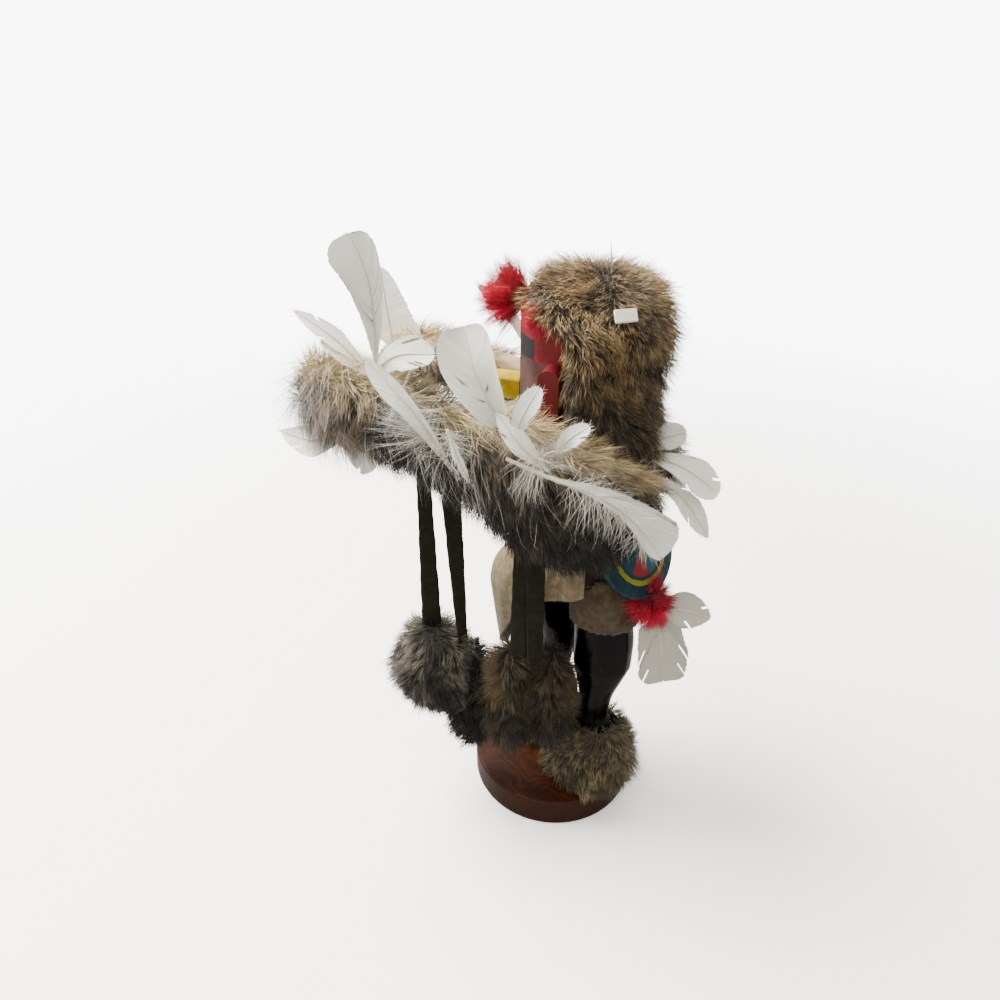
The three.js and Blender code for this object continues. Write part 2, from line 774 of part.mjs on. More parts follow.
add('torso_fur', fitted(torsoFur(), near.body, near.arms, near.hood, near.shield), DARK_FUR);
add('kilt', fitted(kiltForm(0), kiltForm(KILT_WALL), near.body, near.torso, near.shield), CLOTH);
add('apron', fitted(apron(), near.kilt, near.body, near.bands), SUEDE);
add('knee_band_left', fitted(kneeBand(leftLeg, ...LEFT_BAND), near.body, near.kilt, near.shield), SUEDE);
add('knee_band_right', fitted(kneeBand(rightLeg, ...RIGHT_BAND), near.body, near.kilt), SUEDE);
add('foot_fur_left', fitted(footFur(1), near.body, near.rightFoot), PALE_FUR);
add('foot_fur_right', fitted(footFur(-1), near.body), PALE_FUR);

POMPOMS.forEach((_, i) => {
  const nearer = near.pompoms.slice(0, i);
  const look = i === 0 ? GREY_FUR : i === 1 ? DARK_FUR : HOOD_FUR;
  add(`pompom_${i + 1}`, fitted(pompom(i), near.body, near.bands, near.leftFoot, ...nearer), look);
  add(`strap_${i + 1}`, fitted(strap(i), allPompoms, near.wings, near.torso), STRAP);
});

add('shield', fitted(shieldDisc(), near.body), TEAL);
add('shield_fluff', fitted(shieldFluff(), near.shield, near.body, near.bands), FLUFF);

// Each feather clears the furs and the feathers that were bound on before it
const around = [near.wings, near.arms, near.torso, near.hood, near.shield, near.shieldFluff, near.body];
const feathers = [
  ...LEFT_FEATHERS.map((shape, i) => [`wing_feather_left_${i + 1}`, shape]),
  ...RIGHT_FEATHERS.map((shape, i) => [`wing_feather_right_${i + 1}`, shape]),
  ...BACK_FEATHERS.map((shape, i) => [`back_feather_${i + 1}`, shape]),
  ...SHIELD_FEATHERS.map((shape, i) => [`shield_feather_${i + 1}`, shape]),
];
for (const [name, shape] of feathers) {
  add(name, fitted(feather(shape), ...around), WHITE);
  around.push(feather(shape, FIT_GAP));
}

export default group;
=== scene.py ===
# %% [markdown]
# # A fur-dressed kachina doll
#
# The real object is a small carved wooden dancer on a round stained base. A rabbit-fur hood covers the head,
# pelts are wrapped along both arms, and white feathers stand out of them like a spread pair of wings. Four
# suede straps with fur pompoms hang from the left arm, and a painted shield leans on the left hip.
#
# Nearly everything that is seen is soft: fur, feathers, suede and cloth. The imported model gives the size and
# the place of each piece. This lesson makes the surfaces: single hairs, the barbs of each feather, the nap of
# the suede, the weave of the kilt, and the paint and the stain on the wood.

import math

import bmesh
import bpy
import numpy as np
from mathutils import Matrix, Vector, kdtree
from mathutils.bvhtree import BVHTree


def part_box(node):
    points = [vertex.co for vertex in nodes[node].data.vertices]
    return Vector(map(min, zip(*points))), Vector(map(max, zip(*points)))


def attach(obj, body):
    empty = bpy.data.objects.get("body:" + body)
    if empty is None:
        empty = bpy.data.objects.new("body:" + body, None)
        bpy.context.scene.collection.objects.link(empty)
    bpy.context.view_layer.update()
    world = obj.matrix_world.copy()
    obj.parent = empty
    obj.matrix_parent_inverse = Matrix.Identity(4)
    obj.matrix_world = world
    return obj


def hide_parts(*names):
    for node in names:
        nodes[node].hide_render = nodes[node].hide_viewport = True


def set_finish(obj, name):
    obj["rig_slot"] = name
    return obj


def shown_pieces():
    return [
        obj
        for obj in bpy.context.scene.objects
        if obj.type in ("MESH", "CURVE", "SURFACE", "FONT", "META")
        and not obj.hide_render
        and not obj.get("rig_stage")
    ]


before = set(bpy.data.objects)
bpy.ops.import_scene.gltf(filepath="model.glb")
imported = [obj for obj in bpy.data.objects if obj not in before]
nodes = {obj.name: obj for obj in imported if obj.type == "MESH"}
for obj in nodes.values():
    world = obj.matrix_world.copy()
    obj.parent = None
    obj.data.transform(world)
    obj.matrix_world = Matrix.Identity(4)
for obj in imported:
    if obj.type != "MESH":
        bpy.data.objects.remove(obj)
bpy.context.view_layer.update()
print("CAD nodes:", len(nodes))

# %% [markdown]
# ## Places and lines
#
# The doll was measured in millimetres from the centre of the base, so the lesson keeps those numbers and
# turns them into metres in one place. Quills, straps and hems are all smooth lines through a few points.
# A straight join of the points would kink, so the line bends through them.

# %% Measures
MILLIMETRE = 0.001
BASE_LIFT = 3.0  # the drawing counts heights from this far above the floor
SIDE_LIMIT = 0.0765  # no loose hair reaches further to the left or right


def place(x, y, h):
    """A drawn place: x to the doll's left, y to its back, h up."""
    return np.array([x, y, h + BASE_LIFT]) * MILLIMETRE


def heights_of(points):
    """Drawn heights in millimetres."""
    return points[:, 2] / MILLIMETRE - BASE_LIFT


def unit(vectors):
    vectors = np.asarray(vectors, float)
    return vectors / np.maximum(np.linalg.norm(vectors, axis=-1, keepdims=True), 1e-12)


def ease(value, low, high):
    """0 below low, 1 above high, and a smooth rise between."""
    share = np.clip((value - low) / (high - low), 0, 1)
    return share * share * (3 - 2 * share)


def bent_line(points, count):
    """Evenly read places on a smooth line through the points."""
    points = np.asarray(points, float)
    first = 2 * points[0] - points[1]
    last = 2 * points[-1] - points[-2]
    full = np.vstack([first, points, last])
    spans = len(points) - 1
    found = []
    for s in np.linspace(0, spans, count):
        i = min(int(s), spans - 1)
        f = s - i
        a, b, c, d = full[i : i + 4]
        before, here, after = (np.linalg.norm(v - u) ** 0.5 for u, v in ((a, b), (b, c), (c, d)))
        leave = ((b - a) / before - (c - a) / (before + here) + (c - b) / here) * here
        reach = ((c - b) / here - (d - b) / (here + after) + (d - c) / after) * here
        found.append(
            b * (1 + f * f * (2 * f - 3)) + c * f * f * (3 - 2 * f)
            + leave * f * (1 - f) ** 2 - reach * f * f * (1 - f)
        )
    return np.array(found)


def waves(points, size, seed):
    """A smooth random value from about -1 to 1 at each point; its patches are about size across."""
    chance = np.random.default_rng(seed)
    total = np.zeros(len(points))
    for _ in range(7):
        way = unit(chance.normal(size=3))
        pace = chance.uniform(0.7, 1.8) * 2 * math.pi / (2.4 * size)
        total += np.sin(points @ way * pace + chance.uniform(0, 2 * math.pi))
    return np.clip(total / 3, -1, 1)


# %% [markdown]
# ## From arrays to meshes
#
# A pelt holds tens of thousands of hairs. Adding them one by one would take minutes, so each piece is first
# built as plain arrays of places and triangles and handed over at once. Each corner also keeps three marks:
# how far along its hair it is, how light it is, and how pale its patch is. The lightness comes from its lock
# and, on some pieces, from painted shade and painted light. The materials read them.

# %% Mesh from arrays
def make_piece(name, points, faces, material, slot, marks=None, smooth=True):
    mesh = bpy.data.meshes.new(name)
    faces = np.asarray(faces, np.int32)
    sides = faces.shape[1]
    mesh.vertices.add(len(points))
    mesh.vertices.foreach_set("co", np.asarray(points, np.float32).ravel())
    mesh.loops.add(faces.size)
    mesh.loops.foreach_set("vertex_index", faces.ravel())
    mesh.polygons.add(len(faces))
    mesh.polygons.foreach_set("loop_start", np.arange(0, faces.size, sides, dtype=np.int32))
    mesh.update(calc_edges=True)
    mesh.validate()
    if marks is not None:
        layer = mesh.color_attributes.new("hair", "FLOAT_COLOR", "POINT")
        colours = np.ones((len(points), 4), np.float32)
        colours[:, :3] = marks
        layer.data.foreach_set("color", colours.ravel())
    mesh.polygons.foreach_set("use_smooth", np.full(len(mesh.polygons), smooth))
    mesh.materials.append(material)
    piece = bpy.data.objects.new(name, mesh)
    bpy.context.scene.collection.objects.link(piece)
    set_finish(piece, slot)
    return piece


def stand_for(piece, *names):
    """The piece rides with the doll and takes the place of its CAD nodes."""
    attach(piece, "root")
    if names:
        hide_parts(*names)
    return piece


def node_skin(name):
    """Corners, triangles, soft normals and triangle areas of a CAD node."""
    mesh = nodes[name].data
    mesh.calc_loop_triangles()
    corners = np.empty(len(mesh.vertices) * 3)
    mesh.vertices.foreach_get("co", corners)
    faces = np.empty(len(mesh.loop_triangles) * 3, np.int32)
    mesh.loop_triangles.foreach_get("vertices", faces)
    points, same = np.unique(np.round(corners.reshape(-1, 3), 6), axis=0, return_inverse=True)
    faces = same.ravel()[faces].reshape(-1, 3)
    across = np.cross(points[faces[:, 1]] - points[faces[:, 0]], points[faces[:, 2]] - points[faces[:, 0]])
    normals = np.zeros_like(points)
    for k in range(3):
        np.add.at(normals, faces[:, k], across)
    return points, faces, unit(normals), np.linalg.norm(across, axis=1) / 2


def halves(quads):
    """Two triangles for each quad."""
    return np.vstack([quads[:, [0, 1, 2]], quads[:, [0, 2, 3]]])


def nearest_of(points, asked):
    """For each asked place, the number of the nearest point."""
    tree = kdtree.KDTree(len(points))
    for i, p in enumerate(points.tolist()):
        tree.insert(Vector(p), i)
    tree.balance()
    return np.array([tree.find(Vector(p))[1] for p in asked.tolist()])


def grid_faces(rows, columns, closed=False):
    """Quads between rows of points, joined round where closed."""
    faces = []
    for i in range(rows - 1):
        for j in range(columns if closed else columns - 1):
            k = (j + 1) % columns
            faces.append((i * columns + j, i * columns + k, (i + 1) * columns + k, (i + 1) * columns + j))
    return np.array(faces, np.int32)


# %% [markdown]
# ## Small tools for materials
#
# A material is a net of nodes. These two helpers keep each one short: the first adds a node and either sets
# or links its inputs, and the second turns a colour as a painter would note it into the values Blender uses.

# %% Node helpers
def put(tree, kind, inputs=None, **settings):
    made = tree.nodes.new("ShaderNode" + kind)
    for key, value in settings.items():
        setattr(made, key, value)
    for key, value in (inputs or {}).items():
        if isinstance(value, bpy.types.NodeSocket):
            tree.links.new(value, made.inputs[key])
        else:
            made.inputs[key].default_value = value
    return made


def tint(code):
    """Red, green and blue in hexadecimal, as linear light."""
    parts = [int(code[i : i + 2], 16) / 255 for i in (0, 2, 4)]
    return tuple(c / 12.92 if c < 0.04045 else ((c + 0.055) / 1.055) ** 2.4 for c in parts) + (1.0,)


def blend(tree, share, a, b, kind="MIX"):
    return put(tree, "Mix", {0: share, 6: a, 7: b}, data_type="RGBA", blend_type=kind).outputs[2]


def maths(tree, kind, a, b=0.0, c=0.0):
    return put(tree, "Math", {0: a, 1: b, 2: c}, operation=kind).outputs[0]


def span(tree, value, low, high, to_low=0.0, to_high=1.0):
    """Maps a value from one range to another with soft ends."""
    return put(
        tree,
        "MapRange",
        {0: value, 1: low, 2: high, 3: to_low, 4: to_high},
        interpolation_type="SMOOTHSTEP",
    ).outputs[0]


def new_group(name, inputs, outputs):
    """A node group whose sockets are given as (name, kind, usual value)."""
    tree = bpy.data.node_groups.new(name, "ShaderNodeTree")
    for title, kind, usual in inputs:
        socket = tree.interface.new_socket(title, in_out="INPUT", socket_type="NodeSocket" + kind)
        socket.default_value = usual
    for title, kind in outputs:
        tree.interface.new_socket(title, in_out="OUTPUT", socket_type="NodeSocket" + kind)
    return tree, tree.nodes.new("NodeGroupInput").outputs, tree.nodes.new("NodeGroupOutput").inputs


def use_group(tree, group, **values):
    made = tree.nodes.new("ShaderNodeGroup")
    made.node_tree = group
    for title, value in values.items():
        key = title.replace("_", " ")
        if isinstance(value, bpy.types.NodeSocket):
            tree.links.new(value, made.inputs[key])
        else:
            made.inputs[key].default_value = value
    return made.outputs


def new_material(name, **constants):
    """A material with one Principled shader; constants go straight on its own sockets."""
    material = bpy.data.materials.new(name)
    material.use_nodes = True
    tree = material.node_tree
    tree.nodes.clear()
    shader = tree.nodes.new("ShaderNodeBsdfPrincipled")
    for title, value in constants.items():
        shader.inputs[title.replace("_", " ")].default_value = value
    out = tree.nodes.new("ShaderNodeOutputMaterial")
    tree.links.new(shader.outputs[0], out.inputs[0])
    return material, tree, shader.inputs


def here(tree):
    """Where a point lies on the doll, in metres."""
    return put(tree, "TexCoord").outputs["Object"]


def parts_of(tree, vector):
    """The x, y and z of a vector, as three sockets."""
    return put(tree, "SeparateXYZ", {0: vector}).outputs


def noise(tree, scale, detail=2.0, vector=None):
    """A soft random value; its patches are about 1 / scale metres across."""
    where = here(tree) if vector is None else vector
    return put(tree, "TexNoise", {"Vector": where, "Scale": scale, "Detail": detail}).outputs["Fac"]


# %% [markdown]
# ## Camera, floor and light
#
# The photograph looks down on the doll's left side from a little behind, through a short lens: the base at
# the bottom looks small and the wing near the lens looks big. The eye's place was worked out from the round
# base, which is seen as an ellipse, and from the straps, which hang plumb.
#
# The set is a plain pale sweep. One soft light stands high in front of the doll, and the room is bright above
# and dim below. So tops and fronts are light, and what faces the lens from below falls into deep brown. The
# sweep is shown whiter to the lens than it is to the doll, or its glow would fill every shadow.

# %% Camera
EYE = Vector((0.3067, 0.0786, 0.3630))
TURN = math.radians(110)
DOWN = math.radians(30)

level = Vector((-math.sin(TURN), math.cos(TURN), 0))
right = Vector((level.y, -level.x, 0))
forward = level * math.cos(DOWN) - Vector((0, 0, math.sin(DOWN)))
upward = right.cross(forward)
camera_data = bpy.data.cameras.new("camera")
camera_data.lens = 27
camera_data.sensor_width = 36
camera_data.clip_start = 0.01
camera = bpy.data.objects.new("camera", camera_data)
camera.matrix_world = Matrix.Translation(EYE) @ Matrix((right, upward, -forward)).transposed().to_4x4()
bpy.context.scene.collection.objects.link(camera)
bpy.context.scene.camera = camera

# %% Floor and light
FLOOR_HALF = 6.0
WHITE_SWEEP = 9.0

sweep, tree, shader = new_material("pale_floor", Roughness=0.9)
patches = noise(tree, 3.0)
paper = blend(tree, patches, tint("9a9a9b"), tint("a2a2a2"))
tree.links.new(paper, shader["Base Color"])
lit = put(tree, "BsdfDiffuse", {"Color": (1.4, 1.4, 1.41, 1.0)}).outputs[0]
glow = put(tree, "Emission", {"Color": (1.0, 1.0, 1.0, 1.0), "Strength": WHITE_SWEEP}).outputs[0]
away = put(tree, "VectorMath", {0: here(tree)}, operation="LENGTH").outputs["Value"]
lit = put(tree, "MixShader", {0: span(tree, away, 0.22, 1.1), 1: lit, 2: glow}).outputs[0]
seen = put(tree, "LightPath").outputs["Is Camera Ray"]
shown = put(tree, "MixShader", {0: seen, 1: shader["Base Color"].node.outputs[0], 2: lit}).outputs[0]
tree.links.new(shown, tree.nodes["Material Output"].inputs[0])
corners = [(-FLOOR_HALF, -FLOOR_HALF, 0), (FLOOR_HALF, -FLOOR_HALF, 0), (FLOOR_HALF, FLOOR_HALF, 0)]
corners.append((-FLOOR_HALF, FLOOR_HALF, 0))
floor = make_piece("floor", corners, [[0, 1, 2, 3]], sweep, "", smooth=False)
del floor["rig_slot"]
floor["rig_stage"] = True

ROOM_BELOW = 0.12
ROOM_ABOVE = 1.9
WARM = (1.0, 0.965, 0.89, 1.0)
room = bpy.data.worlds.new("room")
room.use_nodes = True
tree = room.node_tree
seen = put(tree, "LightPath").outputs["Is Camera Ray"]
looking_up = parts_of(tree, put(tree, "TexCoord").outputs["Generated"])[2]
room_now = span(tree, looking_up, -0.1, 0.9, ROOM_BELOW, ROOM_ABOVE)
brightness = put(tree, "Mix", {0: seen, 2: room_now, 3: WHITE_SWEEP}).outputs[0]
tree.links.new(brightness, tree.nodes["Background"].inputs["Strength"])
tree.links.new(blend(tree, seen, WARM, (1.0, 1.0, 1.0, 1.0)), tree.nodes["Background"].inputs["Color"])
bpy.context.scene.world = room


def soft_light(name, where, aim, size, power):
    data = bpy.data.lights.new(name, "AREA")
    data.size = size
    data.energy = power
    data.color = WARM[:3]
    lamp = bpy.data.objects.new(name, data)
    lamp.location = where
    lamp.rotation_euler = (Vector(aim) - Vector(where)).to_track_quat("-Z", "Y").to_euler()
    bpy.context.scene.collection.objects.link(lamp)


soft_light("overhead", (0.0, -0.65, 1.2), (0, 0, 0.14), 0.7, 58)
print("camera at", tuple(round(v, 4) for v in EYE))

# %% [markdown]
# ## Fur colours
#
# Rabbit hair is banded: grey and dark at the root, brown further up, then a pale golden ring and often a dark
# point. One group paints any fur from these four colours and the marks on the hairs. It also lets some
# patches turn to another colour, as a pelt does between back and belly.

# %% Group: banded hair
DARKEST_HAIR = 0.07

hair_group, given, result = new_group(
    "banded_hair",
    [
        ("Root", "Color", (0.05, 0.04, 0.03, 1)),
        ("Middle", "Color", (0.2, 0.15, 0.1, 1)),
        ("Ring", "Color", (0.5, 0.4, 0.25, 1)),
        ("Point", "Color", (0.1, 0.07, 0.05, 1)),
        ("Patch", "Color", (0.6, 0.55, 0.5, 1)),
        ("Patch Share", "Float", 0.0),
        ("Contrast", "Float", 0.5),
    ],
    [("Color", "Color")],
)
marks_node = put(hair_group, "Attribute", attribute_name="hair")
mark = put(hair_group, "SeparateColor", {0: marks_node.outputs["Color"]}).outputs
colour = blend(hair_group, span(hair_group, mark[0], 0.1, 0.55), given["Root"], given["Middle"])
colour = blend(hair_group, span(hair_group, mark[0], 0.5, 0.72), colour, given["Ring"])
colour = blend(hair_group, span(hair_group, mark[0], 0.8, 0.97), colour, given["Point"])
pale_share = maths(hair_group, "MULTIPLY", mark[2], given["Patch Share"])
colour = blend(hair_group, pale_share, colour, given["Patch"])
# The lightness mark holds each lock's random tone and, where a pelt has a shade function, painted shade and
# painted light.
lightness = maths(hair_group, "SUBTRACT", mark[1], 0.5)
lightness = maths(hair_group, "MULTIPLY_ADD", lightness, given["Contrast"], 1.0)
lightness = maths(hair_group, "MAXIMUM", lightness, DARKEST_HAIR)
grey = put(hair_group, "CombineColor", {0: lightness, 1: lightness, 2: lightness}).outputs[0]
hair_group.links.new(blend(hair_group, 1.0, colour, grey, "MULTIPLY"), result["Color"])


def fur_material(name, root, middle, ring, point, patch, patch_share=1.0, contrast=0.9, gloss=0.5):
    material, tree, shader = new_material(name, Roughness=gloss, Specular_IOR_Level=0.3, Sheen_Weight=0.15)
    out = use_group(
        tree,
        hair_group,
        Root=tint(root),
        Middle=tint(middle),
        Ring=tint(ring),
        Point=tint(point),
        Patch=tint(patch),
        Patch_Share=patch_share,
        Contrast=contrast,
    )
    tree.links.new(out["Color"], shader["Base Color"])
    return material


hood_fur = fur_material("hood_fur", "1a140d", "4f4029", "b39260", "33281a", "5c5547", 1.0, 1.0)
wing_fur = fur_material("wing_fur", "2a231c", "5d5142", "8d7f68", "6c5f4d", "cbb78d", 1.0, 1.2)
tuft_fur = fur_material("tuft_fur", "67605b", "a39c97", "bfb9b3", "b3ada7", "cdbf9f", 1.0, 0.6)
torso_fur = fur_material("torso_fur", "0d0a07", "2f2417", "4a3820", "1d160e", "403423", 1.0, 1.0)
black_fur = fur_material("black_fur", "010101", "030202", "070604", "030202", "0b0907", 1.0, 0.8)
brown_fur = fur_material("brown_fur", "110d08", "2f2519", "50412b", "251c11", "655335", 1.0, 1.2)
grey_fur = fur_material("grey_fur", "24211d", "555047", "857f72", "6e695c", "302c26", 1.0, 1.2)
cream_fur = fur_material("cream_fur", "352d21", "63563f", "827458", "776a50", "483d2b", 1.0, 0.9)
red_fluff = fur_material("red_fluff", "92001f", "bb002c", "cc103c", "2c050c", "da4864", 0.5, 0.9)
white_down = fur_material("white_down", "a5a19a", "cbc7bf", "dcd8d1", "e4e1db", "f6f4f0", 0.3, 0.5)
print("furs:", len([m for m in bpy.data.materials if "fur" in m.name]))

# %% [markdown]
# ## Growing a pelt
#
# Blender's own hair system is one way, but its curves aren't a mesh, and this fur has to be a mesh that can
# be kept. So each hair is made here as a thin ribbon of three short faces that narrows to a point.
#
# Real fur isn't combed evenly. Hairs lean along the pelt, turn slowly from place to place, and stick together
# in locks that point the same way. So each hair gets a lean, a direction from a slow random field, and a pull
# towards the tip of its lock. Hairs that would start inside a neighbour are left out.

# %% Where hairs may start
def touching(others):
    """A search tree over the neighbours that press on a pelt."""
    points = []
    faces = []
    for name in others:
        corners, triangles, _, _ = node_skin(name)
        faces.extend((triangles + len(points)).tolist())
        points.extend(corners.tolist())
    return BVHTree.FromPolygons(points, faces) if points else None


def hair_roots(name, count, chance, others, gap):
    points, faces, normals, areas = node_skin(name)
    chosen = chance.choice(len(faces), count, p=areas / areas.sum())
    a, b = chance.random((2, count))
    over = a + b > 1
    a[over] = 1 - a[over]
    b[over] = 1 - b[over]
    share = np.stack([1 - a - b, a, b], axis=1)[:, :, None]
    roots = (points[faces[chosen]] * share).sum(axis=1)
    ways = unit((normals[faces[chosen]] * share).sum(axis=1))
    tree = touching(others)
    if tree is None:
        return roots, ways
    kept = [
        tree.ray_cast(Vector(p) - Vector(n) * 0.0005, Vector(n), gap + 0.0005)[0] is None
        for p, n in zip(roots.tolist(), ways.tolist())
    ]
    return roots[kept], ways[kept]


def thickness(points, faces, normals):
    """How thick the solid is under each corner, in metres."""
    tree = BVHTree.FromPolygons(points.tolist(), faces.tolist())
    found = []
    for p, n in zip(points.tolist(), normals.tolist()):
        inward = -Vector(n)
        hit = tree.ray_cast(Vector(p) + inward * 0.0003, inward, 0.03)
        found.append(0.03 if hit[0] is None else hit[3])
    return np.array(found)


# %% The hairs themselves
STEPS = np.array([0.0, 0.34, 0.68, 1.0])
WIDTHS = np.array([1.0, 0.9, 0.6, 0.0])


def ribbons(paths, widths, outward, chance):
    """Thin faces along paths of shape (hairs, 4, 3); returns corners and triangles."""
    count = len(paths)
    along = unit(paths[:, 3] - paths[:, 0])
    side = unit(np.cross(along, outward))
    other = np.cross(side, along)
    roll = chance.normal(0, 0.7, count)[:, None]
    side = side * np.cos(roll) + other * np.sin(roll)
    half = side[:, None, :] * (widths[:, None] * WIDTHS[None, :3] / 2)[:, :, None]
    left = paths[:, :3] - half
    right = paths[:, :3] + half
    corners = np.empty((count, 7, 3))
    corners[:, 0:6:2] = left
    corners[:, 1:6:2] = right
    corners[:, 6] = paths[:, 3]
    pattern = np.array([[0, 1, 3], [0, 3, 2], [2, 3, 5], [2, 5, 4], [4, 5, 6]])
    faces = pattern[None] + 7 * np.arange(count)[:, None, None]
    return corners.reshape(-1, 3), faces.reshape(-1, 3)


def lock_pull(paths, per_lock, pull, chance):
    """Draws hairs together towards the tips of their locks."""
    count = len(paths)
    leaders = chance.choice(count, max(1, count // per_lock), replace=False)
    nearest = nearest_of(paths[leaders, 1], paths[:, 1])
    towards = paths[leaders[nearest]] - paths
    strength = chance.uniform(0.6, 1.0, count)[:, None, None] * pull
    return paths + towards * strength * (STEPS**1.6)[None, :, None], nearest


def grow(roots, ways, comb, length, lean, chance, stray=0.25, sag=0.0):
    """Bent paths from the roots. comb is the direction that each hair lies down in."""
    count = len(roots)
    comb = unit(comb - ways * (comb * ways).sum(axis=1, keepdims=True))
    lengths = length * chance.uniform(0.65, 1.25, count)
    start = np.radians(lean + chance.normal(0, 10, count))[:, None]
    end = np.radians(lean + 24 + chance.normal(0, 14, count))[:, None]
    leave = unit(ways * np.cos(start) + comb * np.sin(start) + chance.normal(0, stray / 2, (count, 3)))
    arrive = unit(ways * np.cos(end) + comb * np.sin(end) + chance.normal(0, stray, (count, 3)) - [0, 0, sag])
    t = STEPS[None, :, None]
    bend = (arrive - leave)[:, None] * t * t / 2
    return roots[:, None] + lengths[:, None, None] * (leave[:, None] * t + bend)


def hair_marks(tones, patches):
    """The marks of ribbons: how far along the hair, how light it is, and its share of the patch colour."""
    marks = np.empty((len(tones), 7, 3))
    marks[:, :, 0] = np.repeat(STEPS, 2)[:7][None]
    marks[:, :, 1] = tones[:, None]
    marks[:, :, 2] = patches[:, None]
    return marks.reshape(-1, 3)


PELT_INSET = 4.6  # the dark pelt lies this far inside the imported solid, or 0.4 of a thin one
ROOT_DEPTH = 4.0  # and hairs start this far inside it, or at 0.35 of a thin one
SWIRL = 9.0  # the lie of the hair turns over about this distance


def pelt_piece(
    title, node, material, slot, seed, count, length, comb, width=0.26, lean=42, per_lock=45, pull=0.55,
    pale=None, shade=None, keep=None, others=(), stray=0.25, sag=0.0, gap=1.6, trim=None,
):
    """A fur piece over a CAD node: a dark pelt a little inside it, and the hairs that stand on it."""
    chance = np.random.default_rng(seed)
    points, faces, normals, _ = node_skin(node)
    thick = thickness(points, faces, normals)
    pelt = points - normals * np.minimum(PELT_INSET * MILLIMETRE, 0.4 * thick)[:, None]
    roots, ways = hair_roots(node, count, chance, others, gap * MILLIMETRE)
    near = nearest_of(points, roots)
    roots = roots - ways * np.minimum(ROOT_DEPTH * MILLIMETRE, 0.35 * thick[near])[:, None]
    lying = comb(roots, ways)
    turn = waves(roots, SWIRL * MILLIMETRE, seed + 1)[:, None] * 0.9
    across = np.cross(ways, lying)
    lying = lying * np.cos(turn) + across * np.sin(turn)
    depth = 1 + 0.22 * waves(roots, 7 * MILLIMETRE, seed + 2)
    paths = grow(roots, ways, lying, length * MILLIMETRE * depth, lean, chance, stray, sag)
    paths, lock = lock_pull(paths, per_lock, pull, chance)
    lock_tones = np.random.default_rng(seed + 3).random(lock.max() + 1)[lock]
    tones = lock_tones * 0.5 + chance.random(len(lock)) * 0.5
    # Painted shade: a shade function darkens hairs where shade falls and, below zero, lightens them as painted
    # light.
    if shade is not None:
        tones = tones - shade(roots, ways)
    if keep is not None:
        stays = keep(paths)
        roots, ways, paths, tones = roots[stays], ways[stays], paths[stays], tones[stays]
    patch = np.zeros(len(roots)) if pale is None else pale(roots, ways)
    wide = width * MILLIMETRE * chance.uniform(0.7, 1.3, len(paths))
    corners, strips = ribbons(paths, wide, ways, chance)
    base_marks = np.tile([0.0, 0.35, 0.0], (len(pelt), 1))
    if pale is not None:
        base_marks[:, 2] = pale(points, normals)
    if trim is not None:
        faces = faces[trim(pelt[faces])]
    all_faces = np.vstack([faces, strips + len(pelt)])
    marks = np.vstack([base_marks, hair_marks(tones, patch)])
    piece = make_piece(title, np.vstack([pelt, corners]), all_faces, material, slot, marks)
    stand_for(piece, node)
    print(f"{title}: {len(paths)} hairs, {len(piece.data.polygons)} faces")


# %% [markdown]
# ## The hood
#
# The hood is one rabbit pelt with a whorl behind the crown. From there the hair runs forward over the brow
# and down the sides and the nape. It is long and unruly, golden brown on top, greyer on the side where the
# underfur shows, and nearly black-tipped at the back. Its lower side and nape are darkened as painted shade,
# and hair that faces up on the crown is lightened as painted light.

# %% Hood
WHORL = place(3, 14, 290)
GOLDEN_TUFT = place(26, 4, 257)


def hood_comb(points, ways):
    from_whorl = points - WHORL
    outward = unit(from_whorl * [1, 1, 0.2])
    down = np.tile([0.0, 0.25, -1.0], (len(points), 1))
    top = ease(ways[:, 2], 0.1, 0.8)[:, None]
    from_tuft = np.linalg.norm(points - GOLDEN_TUFT, axis=1) / (6 * MILLIMETRE)
    forward_tuft = np.exp(-(from_tuft**2))[:, None]
    return unit(outward * top + down * (1 - top) + forward_tuft * [0.3, -3.0, 0.4])


def hood_pale(points, ways):
    side = ease(points[:, 0], 0.018, 0.03) * (1 - ease(points[:, 2], 0.262, 0.272))
    side = side * (1 - ease(points[:, 1], 0.012, 0.03))
    spots = ease(waves(points, 11 * MILLIMETRE, 5), -0.2, 0.7)
    return np.clip(0.75 * side * (0.4 + 0.6 * spots) + 0.25 * spots, 0, 1)


def hood_painted_shade(points, ways):
    """Painted shade, nearly black at the lower side and the nape, and painted light on the crown where the
    hair faces up.
    """
    heights = heights_of(points)
    low = 1 - ease(heights, 236, 278)
    return 0.66 * low + 0.02 - 0.24 * ease(ways[:, 2], 0.5, 1.0)


OPENING = [(150, 6.0), (262, 6.0), (268, 3.0), (275, -8.0), (280, -19.0), (300, -19.5)]


def off_the_face(paths):
    """Hairs may reach over the edge of the face opening by a little and no more."""
    tips = paths[:, 3]
    edge = np.interp(heights_of(tips), *zip(*OPENING))
    tuft = np.linalg.norm(paths[:, 0] - GOLDEN_TUFT, axis=1) < 5 * MILLIMETRE
    return (tips[:, 1] / MILLIMETRE > edge - 1.5) | tuft


def behind_the_edge(corners):
    edge = np.interp(corners[:, :, 2] / MILLIMETRE - BASE_LIFT, *zip(*OPENING))
    return (corners[:, :, 1] / MILLIMETRE > edge - 1.0).all(axis=1)


pelt_piece(
    "hood_of_rabbit_fur", "fur_hood", hood_fur, "hood_fur", 11, 39500, 11.5, hood_comb,
    width=0.22, lean=40, per_lock=16, pull=0.42, stray=0.45,
    pale=hood_pale, shade=hood_painted_shade, keep=off_the_face, trim=behind_the_edge,
    others=(
        "mask_head", "torso_fur", "wing_fur_left", "wing_fur_right", "ear_left", "ear_right", "carved_body",
    ),
)

